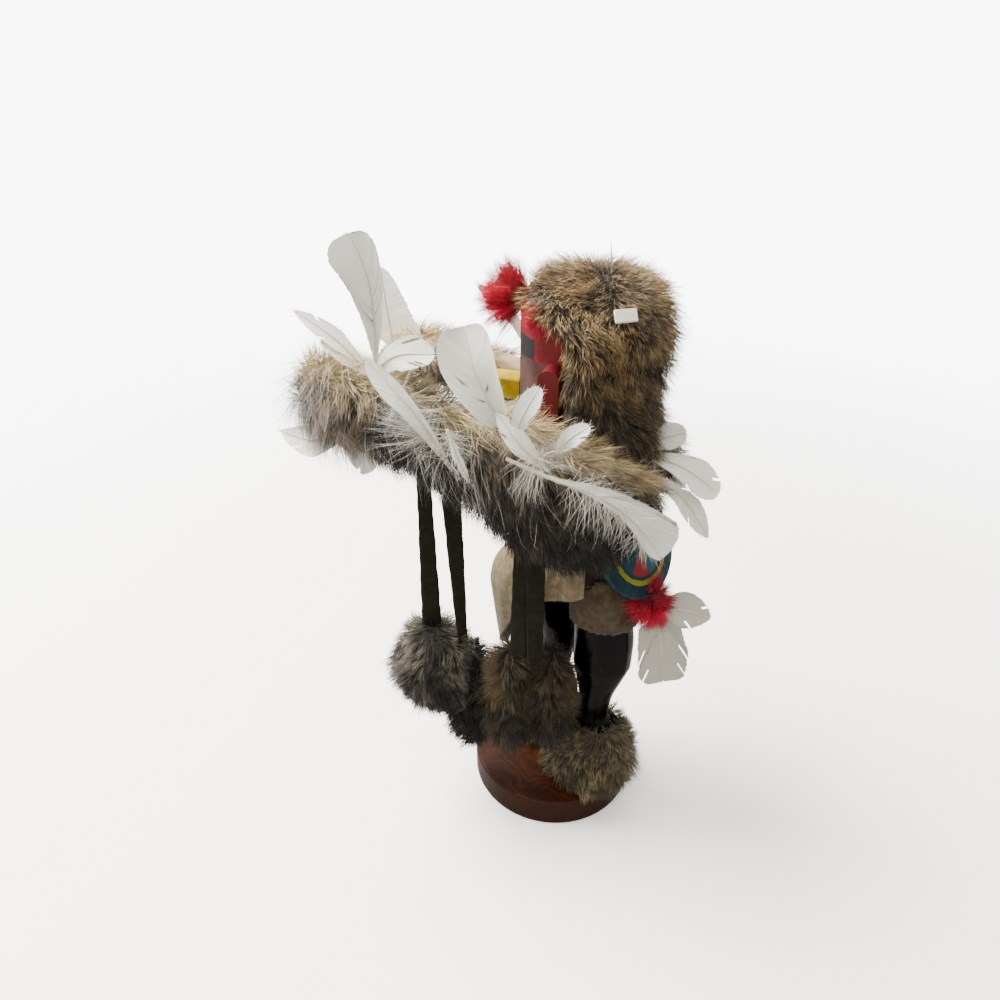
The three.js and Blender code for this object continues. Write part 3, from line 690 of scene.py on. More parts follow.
# %% [markdown]
# ## Wing pelts
#
# A grey-brown pelt is wrapped along each arm. On top, over the shoulder, its guard hairs are coarse and
# straw-coloured and lie along the arm. On the outer side the hair is soft and grey and hangs down in a long
# fringe, and the front end is a round golden-grey tuft. Hair that faces down or out to the side, most of all
# at the lower back, is darkened towards black as painted shade, and the hand is lightened as painted light.

# %% Left wing and right wing
HAND = place(42, -112, 232)


def wing_comb(points, ways):
    front = 1 - ease(points[:, 1], -0.105, -0.085)
    out_of_hand = unit(points - HAND) * front[:, None]
    top = ease(ways[:, 2], 0.2, 0.7)
    along = np.stack([np.zeros(len(points)), 1.2 * top + 0.2, -1.0 + 0.8 * top], axis=1)
    return unit(along * (1 - 0.7 * front[:, None]) + out_of_hand)


def wing_pale(points, ways):
    top = ease(ways[:, 2], 0.15, 0.75)
    return np.clip(top * (0.75 + 0.25 * waves(points, 8 * MILLIMETRE, 8)), 0, 1)


def wing_painted_shade(points, ways):
    """Painted shade, near black where the hair faces down or out to the side and most of all at the lower
    back, and painted light at the hand; the waves add random tone.
    """
    behind = ease(points[:, 1], -0.088, -0.062)
    low = 1 - ease(ways[:, 2], -0.3, 0.55)
    back = 0.3 * ease(points[:, 1], -0.005, 0.03)
    return 0.1 - 0.5 * (1 - behind) + (0.85 + back) * behind * low + 0.2 * waves(points, 10 * MILLIMETRE, 14)


for side, seed, count, width, others in (
    ("left", 21, 36500, 0.24, ("mask_head", "ear_left", "carved_body")),
    ("right", 31, 20000, 0.32, ("mask_head", "ear_right", "arm_right", "carved_body")),
):
    pelt_piece(
        f"{side}_wing_pelt", f"wing_fur_{side}", wing_fur, "wing_fur", seed, count, 12, wing_comb,
        width=width, lean=44, per_lock=26, pull=0.45, stray=0.4, sag=0.1,
        pale=wing_pale, shade=wing_painted_shade, others=others,
    )

# %% [markdown]
# ## Torso, pompoms and foot cuffs
#
# These are smaller pieces of the same kind. A pompom is a strip of fur rolled round the end of a strap: its
# hair fans out from the tie and falls under its own weight, and its underside is darkened as painted shade.
# The cuffs round the feet are short and woolly.

# %% Torso
def falling(points, ways):
    return np.tile([0.0, 0.05, -1.0], (len(points), 1))


def speckled(points, ways):
    return ease(waves(points, 9 * MILLIMETRE, 3), 0.0, 0.9)


pelt_piece(
    "torso_pelt", "torso_fur", torso_fur, "dark_fur", 41, 9500, 10, falling,
    width=0.36, lean=46, per_lock=30, pull=0.55, pale=speckled,
    others=("wing_fur_left", "wing_fur_right", "fur_hood", "mask_head", "shield", "kilt", "apron"),
)

# %% Pompoms
POMPOMS = [
    ("grey_pompom", "pompom_1", grey_fur, "wing_fur", 11, 10500),
    ("black_pompom", "pompom_2", black_fur, "dark_fur", 8.5, 7500),
    ("brown_pompom", "pompom_3", brown_fur, "brown_fur", 11, 10500),
    ("back_pompom", "pompom_4", brown_fur, "brown_fur", 10, 8500),
]


# Painted shade: every pompom hair is darkened a little, and hair that faces down much more.
def painted_shade_below(points, ways):
    return 0.17 + 0.8 * (1 - ease(ways[:, 2], -0.6, 0.5))


def pompom_comb(node):
    low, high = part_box(node)
    tie = np.array([(low.x + high.x) / 2, (low.y + high.y) / 2, high.z - 0.004])

    def comb(points, ways):
        return unit(unit(points - tie) * 0.8 + np.array([0, 0, -0.8]))

    return comb


for order, (title, node, material, slot_name, hair, count) in enumerate(POMPOMS):
    pelt_piece(
        title, node, material, slot_name, 50 + 5 * order, count, hair, pompom_comb(node),
        width=0.31, lean=38, per_lock=20, pull=0.55, stray=0.45, pale=speckled, shade=painted_shade_below,
    )

# %% Foot cuffs
for side, seed, count in (("left", 71, 11500), ("right", 81, 8500)):
    pelt_piece(
        f"{side}_foot_cuff", f"foot_fur_{side}", cream_fur, "pale_fur", seed, count, 8, falling,
        width=0.3, lean=34, per_lock=22, pull=0.65, stray=0.45,
        pale=speckled, others=("base", "carved_body"), gap=0.3,
    )

# %% [markdown]
# ## Red fluff
#
# Two bunches of dyed down: one stands over the brow and one hides the knot below the shield. The down spreads
# from a small middle in a few pointed wisps, brighter inside and dark at the very points.

# %% Fluff
def wisps(seed, middle, ways_out, length, count, per_wisp, width, pull, start=2.0):
    """Points, triangles and marks of pointed tufts that leave one middle."""
    chance = np.random.default_rng(seed)
    chosen = np.asarray(ways_out, float)[chance.integers(0, len(ways_out), count)]
    ways = unit(chosen + chance.normal(0, 0.2, (count, 3)))
    scatter = chance.normal(0, 0.9 * MILLIMETRE, (count, 3))
    roots = np.asarray(middle) + ways * start * MILLIMETRE + scatter
    comb = chance.normal(0, 1, (count, 3))
    paths = grow(roots, ways, comb, length * MILLIMETRE, 12, chance, 0.25)
    paths, lock = lock_pull(paths, per_wisp, pull, chance)
    paths[:, :, 0] = np.clip(paths[:, :, 0], -SIDE_LIMIT, SIDE_LIMIT)
    corners, strips = ribbons(paths, width * MILLIMETRE * chance.uniform(0.7, 1.3, count), ways, chance)
    tones = np.random.default_rng(seed + 1).random(lock.max() + 1)[lock] * 0.6 + 0.2
    return corners, strips, hair_marks(tones, chance.random(count) ** 2)


def core(node, inset):
    """The middle of a fluff: its CAD solid, drawn in."""
    points, faces, normals, _ = node_skin(node)
    return points - normals * inset * MILLIMETRE, faces, np.tile([0.5, 0.5, 0.2], (len(points), 1))


def hair_piece(title, node, material, slot_name, *parts):
    """One piece from several (points, triangles, marks); node is the CAD node it stands for, or None."""
    starts = np.cumsum([0] + [len(points) for points, _, _ in parts])
    points = np.vstack([part[0] for part in parts])
    faces = np.vstack([part[1] + start for part, start in zip(parts, starts)])
    marks = np.vstack([part[2] for part in parts])
    piece = make_piece(title, points, faces, material, slot_name, marks)
    return stand_for(piece, *([node] if node else []))


BROW_WAYS = [
    (0.1, -1, 0.0), (0.2, -1, 0.35), (0.1, -0.75, 0.75), (0.1, -0.9, 0.15), (0.5, -0.8, 0.1),
    (-0.4, -0.9, 0.2), (0.4, -0.9, -0.35), (0.1, -0.9, -0.3), (0.4, -0.5, 0.6),
]
TEMPLE_WAYS = [(0.5, -0.8, -0.6), (0.7, -0.5, -0.8), (0.5, -0.9, 0.1), (0.6, -0.2, -1)]
HIP_WAYS = [
    (0.5, 0.1, 1.0), (0.7, -0.6, 0.2), (0.6, 0.5, -0.4), (0.5, 0.8, 0.2), (0.8, 0.0, -0.3), (0.2, 0.6, -1),
    (0.5, -0.3, -0.9), (0.6, 0.6, 0.6),
]
RIM_WAYS = [(0.5, -0.1, 1), (0.6, 0.3, 0.9), (0.7, 0.4, 0.4)]

brow = hair_piece(
    "brow_down", "brow_fluff", red_fluff, "red_fluff", core("brow_fluff", 3.5),
    wisps(91, place(4, -19, 275), BROW_WAYS, 20, 5000, per_wisp=85, width=0.19, pull=0.85),
    wisps(92, place(24, -5, 275), TEMPLE_WAYS, 9, 3300, per_wisp=24, width=0.1, pull=0.4, start=1.0),
)
hip = hair_piece(
    "shield_down", "shield_fluff", red_fluff, "red_fluff", core("shield_fluff", 3.0),
    wisps(95, place(16, 48, 142), HIP_WAYS, 14, 4000, per_wisp=80, width=0.2, pull=0.72),
    wisps(97, place(19, 50, 149), RIM_WAYS, 10, 900, per_wisp=60, width=0.14, pull=0.6),
)
print("fluff faces:", len(brow.data.polygons) + len(hip.data.polygons))

# %% [markdown]
# ## Feathers
#
# A feather is a quill with two rows of barbs that hook together into a vane. A flat blade with a picture on
# it would do from afar, but its edge would stay clean and hard. Here each barb is a narrow strip that leaves
# the quill at a slant and bends towards the tip. Every so often two neighbours part, which gives the splits
# that an old feather has. Fine hairs run on past the edge, and loose down grows at the foot of the quill.

# %% Feather material
white_vane, tree, shader = new_material(
    "white_vane", Roughness=0.55, Sheen_Weight=0.2, Specular_IOR_Level=0.35
)
strip = put(tree, "Attribute", attribute_name="hair")
mark = put(tree, "SeparateColor", {0: strip.outputs["Color"]}).outputs
vane_colour = blend(tree, span(tree, mark[0], 0.0, 1.0), tint("f8f5ea"), tint("fffdf7"))
# The second mark greys each barb: random tone, plus painted shade or painted light set per feather by its
# grey.
vane_colour = blend(tree, maths(tree, "MULTIPLY", mark[1], 0.5), vane_colour, tint("b5b0a3"))
vane_colour = blend(tree, mark[2], vane_colour, tint("33291f"))
tree.links.new(vane_colour, shader["Base Color"])

# %% Parts of a feather
BARB_STEPS = np.linspace(0, 1, 7)
BARB_GAP = 0.7  # from one barb to the next along the quill
OPEN_COLUMNS = 2  # outer columns of faces left out where two barbs part
QUILL_SIDES = 6


def vane_faces(family):
    """Triangles between neighbouring barbs, given the number of each barb's family."""
    steps = len(BARB_STEPS)
    faces = []
    for i in range(len(family) - 1):
        joined_to = steps if family[i] == family[i + 1] else steps - OPEN_COLUMNS
        for k in range(joined_to - 1):
            a = i * steps + k
            b = a + steps
            faces.extend([[a, b, b + 1], [a, b + 1, a + 1]])
    return np.array(faces)


def fringe_hairs(barbs, rises, count, grey, chance):
    """Fine hairs that run on from the ends of some barbs."""
    picked = chance.integers(0, len(barbs), count)
    onward = unit(unit(barbs[picked, -1] - barbs[picked, -3]) + chance.normal(0, 0.22, (count, 3)))
    bend = unit(onward + chance.normal(0, 0.5, (count, 3)))
    beyond = (barbs[picked, -1, None] - barbs[picked, -2, None]) * 0.5
    reached = MILLIMETRE * chance.uniform(1.0, 3.2, count)[:, None, None]
    t = STEPS[None, :, None]
    curve = onward[:, None] * t + (bend - onward)[:, None] * t * t / 2
    hairs = barbs[picked, -2, None] + beyond + reached * curve
    corners, strips = ribbons(hairs, np.full(count, 0.1 * MILLIMETRE), rises[picked], chance)
    return corners, strips, np.tile([0.9, 0.3 + grey, 0.0], (len(corners), 1))


def quill_tube(line, walk, across, rise):
    """A tapering tube along the quill."""
    radii = np.interp(walk, [0, 0.1, 1], [0.75, 0.7, 0.14]) * MILLIMETRE
    turn = np.linspace(0, 2 * math.pi, QUILL_SIDES, endpoint=False)
    tube = line[:, None] + radii[:, None, None] * (
        across[:, None] * np.cos(turn)[None, :, None] + rise[:, None] * np.sin(turn)[None, :, None]
    )
    points = tube[::4].reshape(-1, 3)
    faces = halves(grid_faces(len(points) // QUILL_SIDES, QUILL_SIDES, closed=True))
    return points, faces, np.tile([0.0, 0.9, 0.12], (len(points), 1))


def foot_down(read, line, across, way, count, length, where, chance):
    """Loose down on both sides of a part of the quill."""
    s = chance.uniform(*where, count)
    roots = read(line, s)
    sides = chance.choice([-1, 1], count)[:, None]
    ways = unit(read(across, s) * sides + read(way, s) * 0.3 + chance.normal(0, 0.45, (count, 3)))
    falls = chance.normal(0, 0.55, (count, 3)) + [0, 0.25, -0.5]
    paths = grow(roots, ways, falls, length * MILLIMETRE, 34, chance, 0.22, sag=0.3)
    paths, _ = lock_pull(paths, 7, 0.4, chance)
    near = np.abs(paths[:, :, 0]).max(axis=1) < SIDE_LIMIT
    paths = paths[near]
    widths = 0.11 * MILLIMETRE * chance.uniform(0.6, 1.4, len(paths))
    corners, strips = ribbons(paths, widths, ways[near], chance)
    return corners, strips, np.tile([0.6, 0.5, 0.0], (len(corners), 1))


# %% [markdown]
# One function puts these parts together. A feather is described by its half width, by the peak, which is the
# place along the quill where it is widest, and by how blunt its tip is. Its left and right webs can differ.
# Slant lays the barbs forward, cup bends them up, and splits says how often each web parts. Part draws the
# barbs between two splits together and notch makes some groups shorter. Grey darkens the barbs, or lightens
# them below zero; it is painted shade on the two feathers below the shield and painted light on two that
# stand in the light.

# %% One feather
def feather(
    title, node, quill, wide, facing, peak, seed, blunt=0.5, taper=2.2, rise_power=0.9, left=1.0, right=1.0,
    slant=1.3, cup=0.12, splits=1, part=0.05, notch=0.0, ragged=0.05, fringe=70, down=60, fluff=9.0,
    down_from=(0.02, 0.32), specks=(), grey=0.0,
):
    chance = np.random.default_rng(seed)
    line = bent_line([place(*p) for p in quill], 80)
    spans = np.linalg.norm(np.diff(line, axis=0), axis=1)
    long = spans.sum()
    walk = np.concatenate([[0], np.cumsum(spans)]) / long
    way = unit(np.gradient(line, axis=0))
    across = unit(np.cross(way, unit(facing)))
    rise = np.cross(across, way)

    def read(values, s):
        return np.stack([np.interp(s, walk, values[:, k]) for k in range(3)], axis=-1)

    def half_width(s):
        fore = np.minimum(1, s / peak)
        aft = np.maximum(0, (s - peak) / (1 - peak))
        return wide * MILLIMETRE * fore**rise_power * np.maximum(0, 1 - aft**taper) ** blunt

    parts = []
    steps = BARB_STEPS[None]
    for side, fullness in ((-1, left), (1, right)):
        count = int(long / (BARB_GAP * MILLIMETRE))
        ends = np.linspace(0.02, 1.0, count)
        full = half_width(ends) * (1 - ragged * chance.random(count))
        reach = fullness * np.maximum(0.4 * MILLIMETRE, full)
        starts = np.clip(ends - slant * reach / long - 0.01, 0, 0.985)
        cuts = np.sort(chance.uniform(0.45, 0.97, splits))
        family = np.searchsorted(cuts, ends)
        centre = np.array([ends[family == f].mean() if (family == f).any() else 0 for f in range(splits + 1)])
        bunched = ends + (centre[family] - ends) * part * chance.uniform(0.3, 1.0, splits + 1)[family]
        reach = reach * (1 - notch * chance.random(splits + 1)[family])
        s = starts[:, None] + (np.clip(bunched, 0, 1) - starts)[:, None] * steps**1.25
        out = read(across, s) * (side * reach[:, None] * steps**0.92)[:, :, None]
        waver = chance.normal(0, 0.00008, count)[:, None]
        curl = cup * reach[:, None] * steps**2 + waver * steps
        barbs = read(line, s) + out + read(rise, s) * curl[:, :, None]
        marks = np.zeros(barbs.shape)
        marks[:, :, 0] = steps
        # grey shifts every barb's tone: painted shade where it is high, painted light below zero.
        marks[:, :, 1] = grey + (0.55 - 0.3 * grey) * chance.random(count)[:, None]
        for web, at_end, at_step in specks:
            if web == side:
                row = np.abs(ends - at_end).argmin()
                marks[row : row + 2, at_step, 2] = 0.9
        parts.append((barbs.reshape(-1, 3), vane_faces(family), marks.reshape(-1, 3)))
        parts.append(fringe_hairs(barbs, read(rise, ends), fringe, grey, chance))
    parts.append(quill_tube(line, walk, across, rise))
    parts.append(foot_down(read, line, across, way, down, fluff, down_from, chance))
    hair_piece(title, node, white_vane, "feather", *parts)


# %% [markdown]
# The feathers on the left arm were placed one by one from the photograph. Each line gives the quill's points,
# the half width, the way the face looks, and where along its length the feather is widest. Two more have no
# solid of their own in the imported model, because they are small and lie on others.

# %% Feathers of the left wing
LEFT = [
    # The negative grey of the first feather lightens it: painted light.
    dict(quill=[(46, -71, 249), (47.5, -69, 272), (48, -70.5, 291), (48, -77, 307)], wide=10,
         facing=(0.8, 0.3, 0.4), peak=0.86, left=1.2, right=0.75, splits=0, slant=2.0, fringe=240,
         rise_power=1.15, grey=-0.3, blunt=0.33),
    dict(quill=[(45, -75, 250), (45.5, -90, 263), (46, -108, 273)], wide=4.4, facing=(0.7, 0, 0.7),
         peak=0.45, blunt=0.9, notch=0.1, slant=2.0, fringe=110),
    dict(quill=[(56, -31, 212), (61.5, -46, 241), (60, -68, 262)], wide=4.6, facing=(0.9, 0.1, 0.3),
         peak=0.7, left=1.25, right=0.75, splits=0, slant=2.2, down=230, fluff=18, down_from=(0.15, 0.75)),
    dict(quill=[(43, -94, 214), (42, -112, 211), (41, -129, 213)], wide=9, facing=(0.8, 0.2, 0.5),
         peak=0.4, blunt=1.5, slant=1.6, left=1.0, right=0.9, notch=0.1),
    dict(quill=[(45, -80, 218), (45, -81, 211), (45, -83, 199)], wide=7, facing=(0.9, 0.2, 0.2),
         peak=0.5, blunt=1.1),
    dict(quill=[(55.5, -12, 238), (58.5, -16, 249), (58, -22.5, 262), (52, -28.5, 277)], wide=7.9,
         facing=(0.85, 0.1, 0.45), peak=0.66, cup=0.6, splits=0, ragged=0.02, fluff=14, left=1.4,
         right=1.25, rise_power=0.5, blunt=0.33, taper=3.2, fringe=30, grey=0.2,
         specks=((-1, 0.6, 1), (-1, 0.72, 3), (1, 0.66, 1))),
    dict(quill=[(56, -6.5, 233), (59, -3, 245), (53, 2.3, 256.5)], wide=4.6, facing=(0.8, 0.2, 0.5),
         peak=0.6, notch=0.1, slant=2.0, down=90, fluff=13),
    dict(quill=[(56, 7.5, 223), (60.5, -3, 235), (58.5, -13.5, 246)], wide=4.4, facing=(0.8, 0.3, 0.4),
         peak=0.5, blunt=0.9, slant=2.0, down=210, fluff=18),
    dict(quill=[(50, 8, 226), (52.5, 14, 236), (50, 21.6, 242)], wide=4, facing=(0.7, 0.3, 0.6),
         peak=0.6, notch=0.1, slant=1.8, down=80, fluff=11),
    dict(quill=[(59, -9, 227), (60, 10, 222), (53.5, 27, 214), (45, 41, 200), (33, 53, 177)], wide=12,
         facing=(0.85, 0.45, 0.3), peak=0.84, splits=2, part=0.04, slant=2.0, down=520, fluff=17,
         rise_power=1.9, blunt=0.55, fringe=320, left=1.15, right=0.32, down_from=(0.3, 0.85)),
    dict(quill=[(59, -34, 236), (61.5, -29, 226), (60, -24, 213)], wide=1.8, facing=(0.9, 0.2, 0.2),
         peak=0.5, blunt=0.9, slant=2.2, down=70, fluff=14),
]
for order, values in enumerate(LEFT, start=1):
    feather(f"left_feather_{order}", f"wing_feather_left_{order}", seed=100 + order, **values)
feather(
    "left_small_feather", None, [(45, -73, 246), (46, -84, 256), (47, -96, 261.5)], wide=4.4,
    facing=(0.7, 0, 0.7), peak=0.5, blunt=0.8, seed=131, slant=2.0, fringe=90,
)
feather(
    "left_fanned_feather", None, [(46, -75, 247), (45, -62, 258), (43, -45, 260)], wide=8.5,
    facing=(0.8, 0.1, 0.6), peak=0.6, blunt=0.6, seed=132, slant=2.6, part=0.12, splits=5, fringe=200,
    notch=0.2,
)

# %% [markdown]
# The right arm mirrors a few of them, with one large feather of its own in front. Three stand at the back of
# the shoulders and two hang below the shield.

# %% The other feathers
def mirrored(values):
    quill = [(-x, y, h) for x, y, h in values["quill"]]
    x, y, z = values["facing"]
    return {**values, "quill": quill, "facing": (-x, y, z)}


RIGHT = [
    dict(quill=[(-46, -111, 226), (-46, -114, 248), (-46, -116, 271)], wide=27, facing=(0.8, -0.3, 0.4),
         peak=0.15, slant=0.3, splits=0, left=0.45, taper=1.0, fringe=110),
    *[mirrored(LEFT[number - 1]) for number in (3, 4, 8, 10)],
]
BACK = [
    dict(quill=[(7, 36, 216), (6, 45, 221), (4, 54, 224.5)], wide=6.5, facing=(0.6, 0.1, 0.8), peak=0.6,
         splits=0, rise_power=0.5, down=120, fluff=13),
    # The negative grey of this feather lightens it: painted light.
    dict(quill=[(8, 36, 213), (7, 54, 209), (4, 71, 197)], wide=8.5, facing=(0.6, 0.3, 0.75), peak=0.66,
         grey=-0.3),
    dict(quill=[(12, 36, 207), (11, 55, 197), (8, 70, 176)], wide=5.5, facing=(0.7, 0.4, 0.6), peak=0.6,
         blunt=0.9),
]
# The high grey of these two darkens them as painted shade, where they hang in the shade below the wing.
HIP = [
    dict(quill=[(16, 53, 137), (12, 64, 137), (8, 77, 132.5)], wide=9, facing=(0.8, 0.2, 0.5), peak=0.4,
         blunt=0.9, rise_power=0.5, grey=1.7, fringe=120),
    dict(quill=[(16, 53, 131), (16, 57, 113), (14, 59.5, 91.5)], wide=13.5, facing=(0.9, 0.4, 0.1), peak=0.6,
         blunt=0.22, splits=3, rise_power=0.12, notch=0.12, grey=1.8, fringe=120, slant=1.6),
]
for title, node, rows in (
    ("right_feather", "wing_feather_right", RIGHT),
    ("back_feather", "back_feather", BACK),
    ("shield_feather", "shield_feather", HIP),
):
    for order, values in enumerate(rows, start=1):
        feather(f"white_{title}_{order}", f"{node}_{order}", seed=150 + 7 * len(title) + order, **values)

# %% [markdown]
# ## Loose hair
#
# Some hair doesn't belong to a pelt. Long white wisps from the downy feet of the feathers hang over the lower
# edge of the left pelt and cover the fur like mist. Softer, longer hair covers the left hand and the top of
# the shoulder, a few dark guard hairs break the outline of the hood, and a sleeve of fur covers the right
# wrist. Each function says how likely a hair is at a place.

# %% Loose hair
def loose_hair(title, node, seed, count, length, keep, width, material=white_down, slot_name="feather"):
    chance = np.random.default_rng(seed)
    roots, ways = hair_roots(node, count, chance, (), 0)
    kept = chance.random(count) < keep(roots, ways)
    roots = roots[kept]
    ways = ways[kept]
    comb = np.tile([0.0, 0.5, -0.9], (len(roots), 1)) + chance.normal(0, 0.4, (len(roots), 3))
    paths = grow(roots, ways, comb, length * MILLIMETRE, 48, chance, 0.45, sag=0.2)
    paths, _ = lock_pull(paths, 14, 0.6, chance)
    widths = width * MILLIMETRE * chance.uniform(0.6, 1.2, len(paths))
    corners, strips = ribbons(paths, widths, ways, chance)
    marks = hair_marks(chance.random(len(paths)), ease(ways[:, 2], 0.3, 0.8))
    hair_piece(title, None, material, slot_name, (corners, strips, marks))
    print(f"{title}: {len(paths)} wisps")


def outer_side(points, ways):
    outer = ease(ways[:, 0], 0.2, 0.8)
    line = np.interp(points[:, 1] / MILLIMETRE, [-110, -60, 0, 45], [214, 222, 216, 192])
    band = np.exp(-(((heights_of(points) - line) / 9) ** 2))
    fewer = 1 - 0.75 * ease(points[:, 1], -0.004, 0.022)
    return outer * band * fewer * (0.25 + 0.75 * ease(waves(points, 14 * MILLIMETRE, 4), -0.3, 0.6))


def over_the_hand(points, ways):
    return (1 - ease(points[:, 1], -0.1, -0.078)) * (0.35 + 0.65 * ease(ways[:, 0], -0.4, 0.6))


def over_the_shoulder(points, ways):
    between = ease(points[:, 1], -0.036, -0.022) * (1 - ease(points[:, 1], 0.006, 0.02))
    return ease(ways[:, 2], 0.3, 0.8) * between


def back_of_the_crown(points, ways):
    high = ease(heights_of(points), 255, 280)
    return high * ease(points[:, 1], -0.004, 0.02) * ease(waves(points, 9 * MILLIMETRE, 12), -0.2, 0.5)


def beyond_the_wrist(points, ways):
    return ease(-points[:, 1], 0.044, 0.054) * ease(ways[:, 2], -0.4, 0.2)


loose_hair("left_loose_down", "wing_fur_left", 201, 5600, 20, outer_side, 0.09)
loose_hair("left_hand_tuft", "wing_fur_left", 221, 21000, 18, over_the_hand, 0.11, tuft_fur, "wing_fur")
loose_hair("left_shoulder_fur", "wing_fur_left", 241, 18000, 15, over_the_shoulder, 0.2, wing_fur, "wing_fur")

BARB_WAYS = [(0.1, -1, 0.15), (0.1, -0.9, 0.4), (0.2, -1, 0.0), (0.05, -0.8, 0.6), (0.15, -1, 0.3)]
hair_piece(
    "left_fine_barbs", None, white_down, "feather",
    wisps(98, place(57, -37, 230), BARB_WAYS, 30, 230, per_wisp=6, width=0.09, pull=0.2, start=3.0),
)

loose_hair("hood_guard_hairs", "fur_hood", 231, 4200, 16, back_of_the_crown, 0.17, torso_fur, "hood_fur")
loose_hair("right_arm_fur", "arm_right", 211, 5200, 12, beyond_the_wrist, 0.26, wing_fur, "wing_fur")

# %% [markdown]
# ## Wood and paint
#
# The doll is carved from soft wood. The base is stained red-brown and rubbed to a soft shine. Boots are
# glossy black enamel, while the mask, the ears and the beak have thin matt paint that has worn a little at
# the edges. Wear is one group: it finds the raised edges, breaks them up with noise, and gives a mask.

# %% Groups: worn edges and brushed paint
wear_group, given, result = new_group(
    "worn_edges",
    [("Scale", "Float", 300.0), ("Amount", "Float", 0.5)],
    [("Mask", "Float"), ("Height", "Float")],
)
spots = noise(wear_group, given["Scale"], 5.0)
ridge = put(wear_group, "NewGeometry").outputs["Pointiness"]
ridge = span(wear_group, ridge, 0.52, 0.58)
worn = maths(wear_group, "MULTIPLY", ridge, span(wear_group, spots, 0.42, 0.62))
chips = maths(wear_group, "MULTIPLY", span(wear_group, spots, 0.68, 0.74), 0.5)
worn = maths(wear_group, "MAXIMUM", worn, chips)
wear_group.links.new(maths(wear_group, "MULTIPLY", worn, given["Amount"]), result["Mask"])
wear_group.links.new(spots, result["Height"])

paint_group, given, result = new_group(
    "brushed_paint",
    [
        ("Paint", "Color", (0.5, 0.1, 0.1, 1)), ("Thin", "Color", (0.3, 0.05, 0.05, 1)),
        ("Scale", "Float", 120.0),
    ],
    [("Color", "Color"), ("Height", "Float")],
)
stretch = put(paint_group, "Mapping", {"Vector": here(paint_group), "Scale": (1.0, 1.0, 0.22)}).outputs[0]
stroke_scale = maths(paint_group, "MULTIPLY", given["Scale"], 4.0)
strokes = noise(paint_group, stroke_scale, vector=stretch)
clouds = noise(paint_group, given["Scale"], 4.0)
cloudy = span(paint_group, clouds, 0.4, 0.8)
share = maths(paint_group, "MULTIPLY_ADD", span(paint_group, strokes, 0.35, 0.75), 0.4, cloudy)
share = maths(paint_group, "MINIMUM", share, 1.0)
paint_group.links.new(blend(paint_group, share, given["Paint"], given["Thin"]), result["Color"])
paint_group.links.new(strokes, result["Height"])


def bump(tree, shader, height, distance, strength=1.0):
    made = put(tree, "Bump", {"Height": height, "Distance": distance, "Strength": strength})
    tree.links.new(made.outputs[0], shader["Normal"])


def painted(tree, shader, colour, thin, bare="b08a60", wear=0.7, scale=120.0, lift=0.00012):
    """Brushed paint over bare wood with worn edges; colour may be a socket."""
    coat = use_group(tree, paint_group, Paint=colour, Thin=thin, Scale=scale)
    edge = use_group(tree, wear_group, Scale=380.0, Amount=wear)
    tree.links.new(blend(tree, edge["Mask"], coat["Color"], tint(bare)), shader["Base Color"])
    bump(tree, shader, coat["Height"], lift)


ear_paint, tree, shader = new_material("ear_red", Roughness=0.55, Specular_IOR_Level=0.4)
painted(tree, shader, tint("650513"), tint("55040f"), wear=0.0)
beak_paint, tree, shader = new_material("beak_yellow", Roughness=0.6, Specular_IOR_Level=0.2)
painted(tree, shader, tint("b59c00"), tint("967e00"), wear=0.12)

# %% [markdown]
# The base is one slice of wood. Its stain sits darker in the open grain and in a few knots. The grain is a
# set of distorted rings about a point off to one side, which looks like a slice cut near the edge of a trunk.

# %% Stained wood
stained, tree, shader = new_material("stained_wood", Roughness=0.42, Specular_IOR_Level=0.16)
spot = here(tree)
bend = put(tree, "TexNoise", {"Vector": spot, "Scale": 26.0, "Detail": 3.0}).outputs["Color"]
bent = blend(tree, 0.16, spot, bend)
off = put(
    tree, "Mapping", {"Vector": bent, "Location": (0.02, 0.055, 0.0), "Scale": (1.0, 0.75, 0.35)}
).outputs[0]
rings = put(
    tree, "TexWave", {"Vector": off, "Scale": 34.0, "Distortion": 5.0, "Detail": 3.0, "Detail Scale": 1.6},
    wave_type="RINGS", rings_direction="Z",
).outputs["Fac"]
blotch = noise(tree, 45.0, 4.0, spot)
fine = put(tree, "Mapping", {"Vector": spot, "Scale": (900.0, 160.0, 900.0)}).outputs[0]
pores = noise(tree, 1.0, vector=fine)
wood = blend(tree, rings, tint("2f1406"), tint("45200a"))
wood = blend(tree, span(tree, blotch, 0.45, 0.7, 0.0, 0.75), wood, tint("2c130a"))
wood = blend(tree, span(tree, pores, 0.5, 0.75, 0.0, 0.4), wood, tint("1f0d07"))
height_now = parts_of(tree, spot)[2]
rim = span(tree, height_now, 0.0168, 0.0150, 0.0, 0.8)
wood = blend(tree, rim, wood, tint("301604"))
tree.links.new(wood, shader["Base Color"])
bump(tree, shader, pores, 0.00008)


def turned(profile, sides, move=None):
    """A turned piece from a profile of (radius, height), closed at both ends on the axis."""
    angles = np.linspace(0, 2 * math.pi, sides, endpoint=False)
    rings = [[(r * math.cos(a), r * math.sin(a), z) for a in angles] for r, z in profile]
    points = np.array(rings).reshape(-1, 3)
    quads = grid_faces(len(profile), sides, closed=True)
    points = np.vstack([points, [[0, 0, profile[0][1]]], [[0, 0, profile[-1][1]]]])
    low = len(points) - 2
    high = len(points) - 1
    last = (len(profile) - 1) * sides
    faces = halves(quads).tolist()
    for j in range(sides):
        k = (j + 1) % sides
        faces.append([low, k, j])
        faces.append([high, last + j, last + k])
    return points if move is None else move(points), np.array(faces)


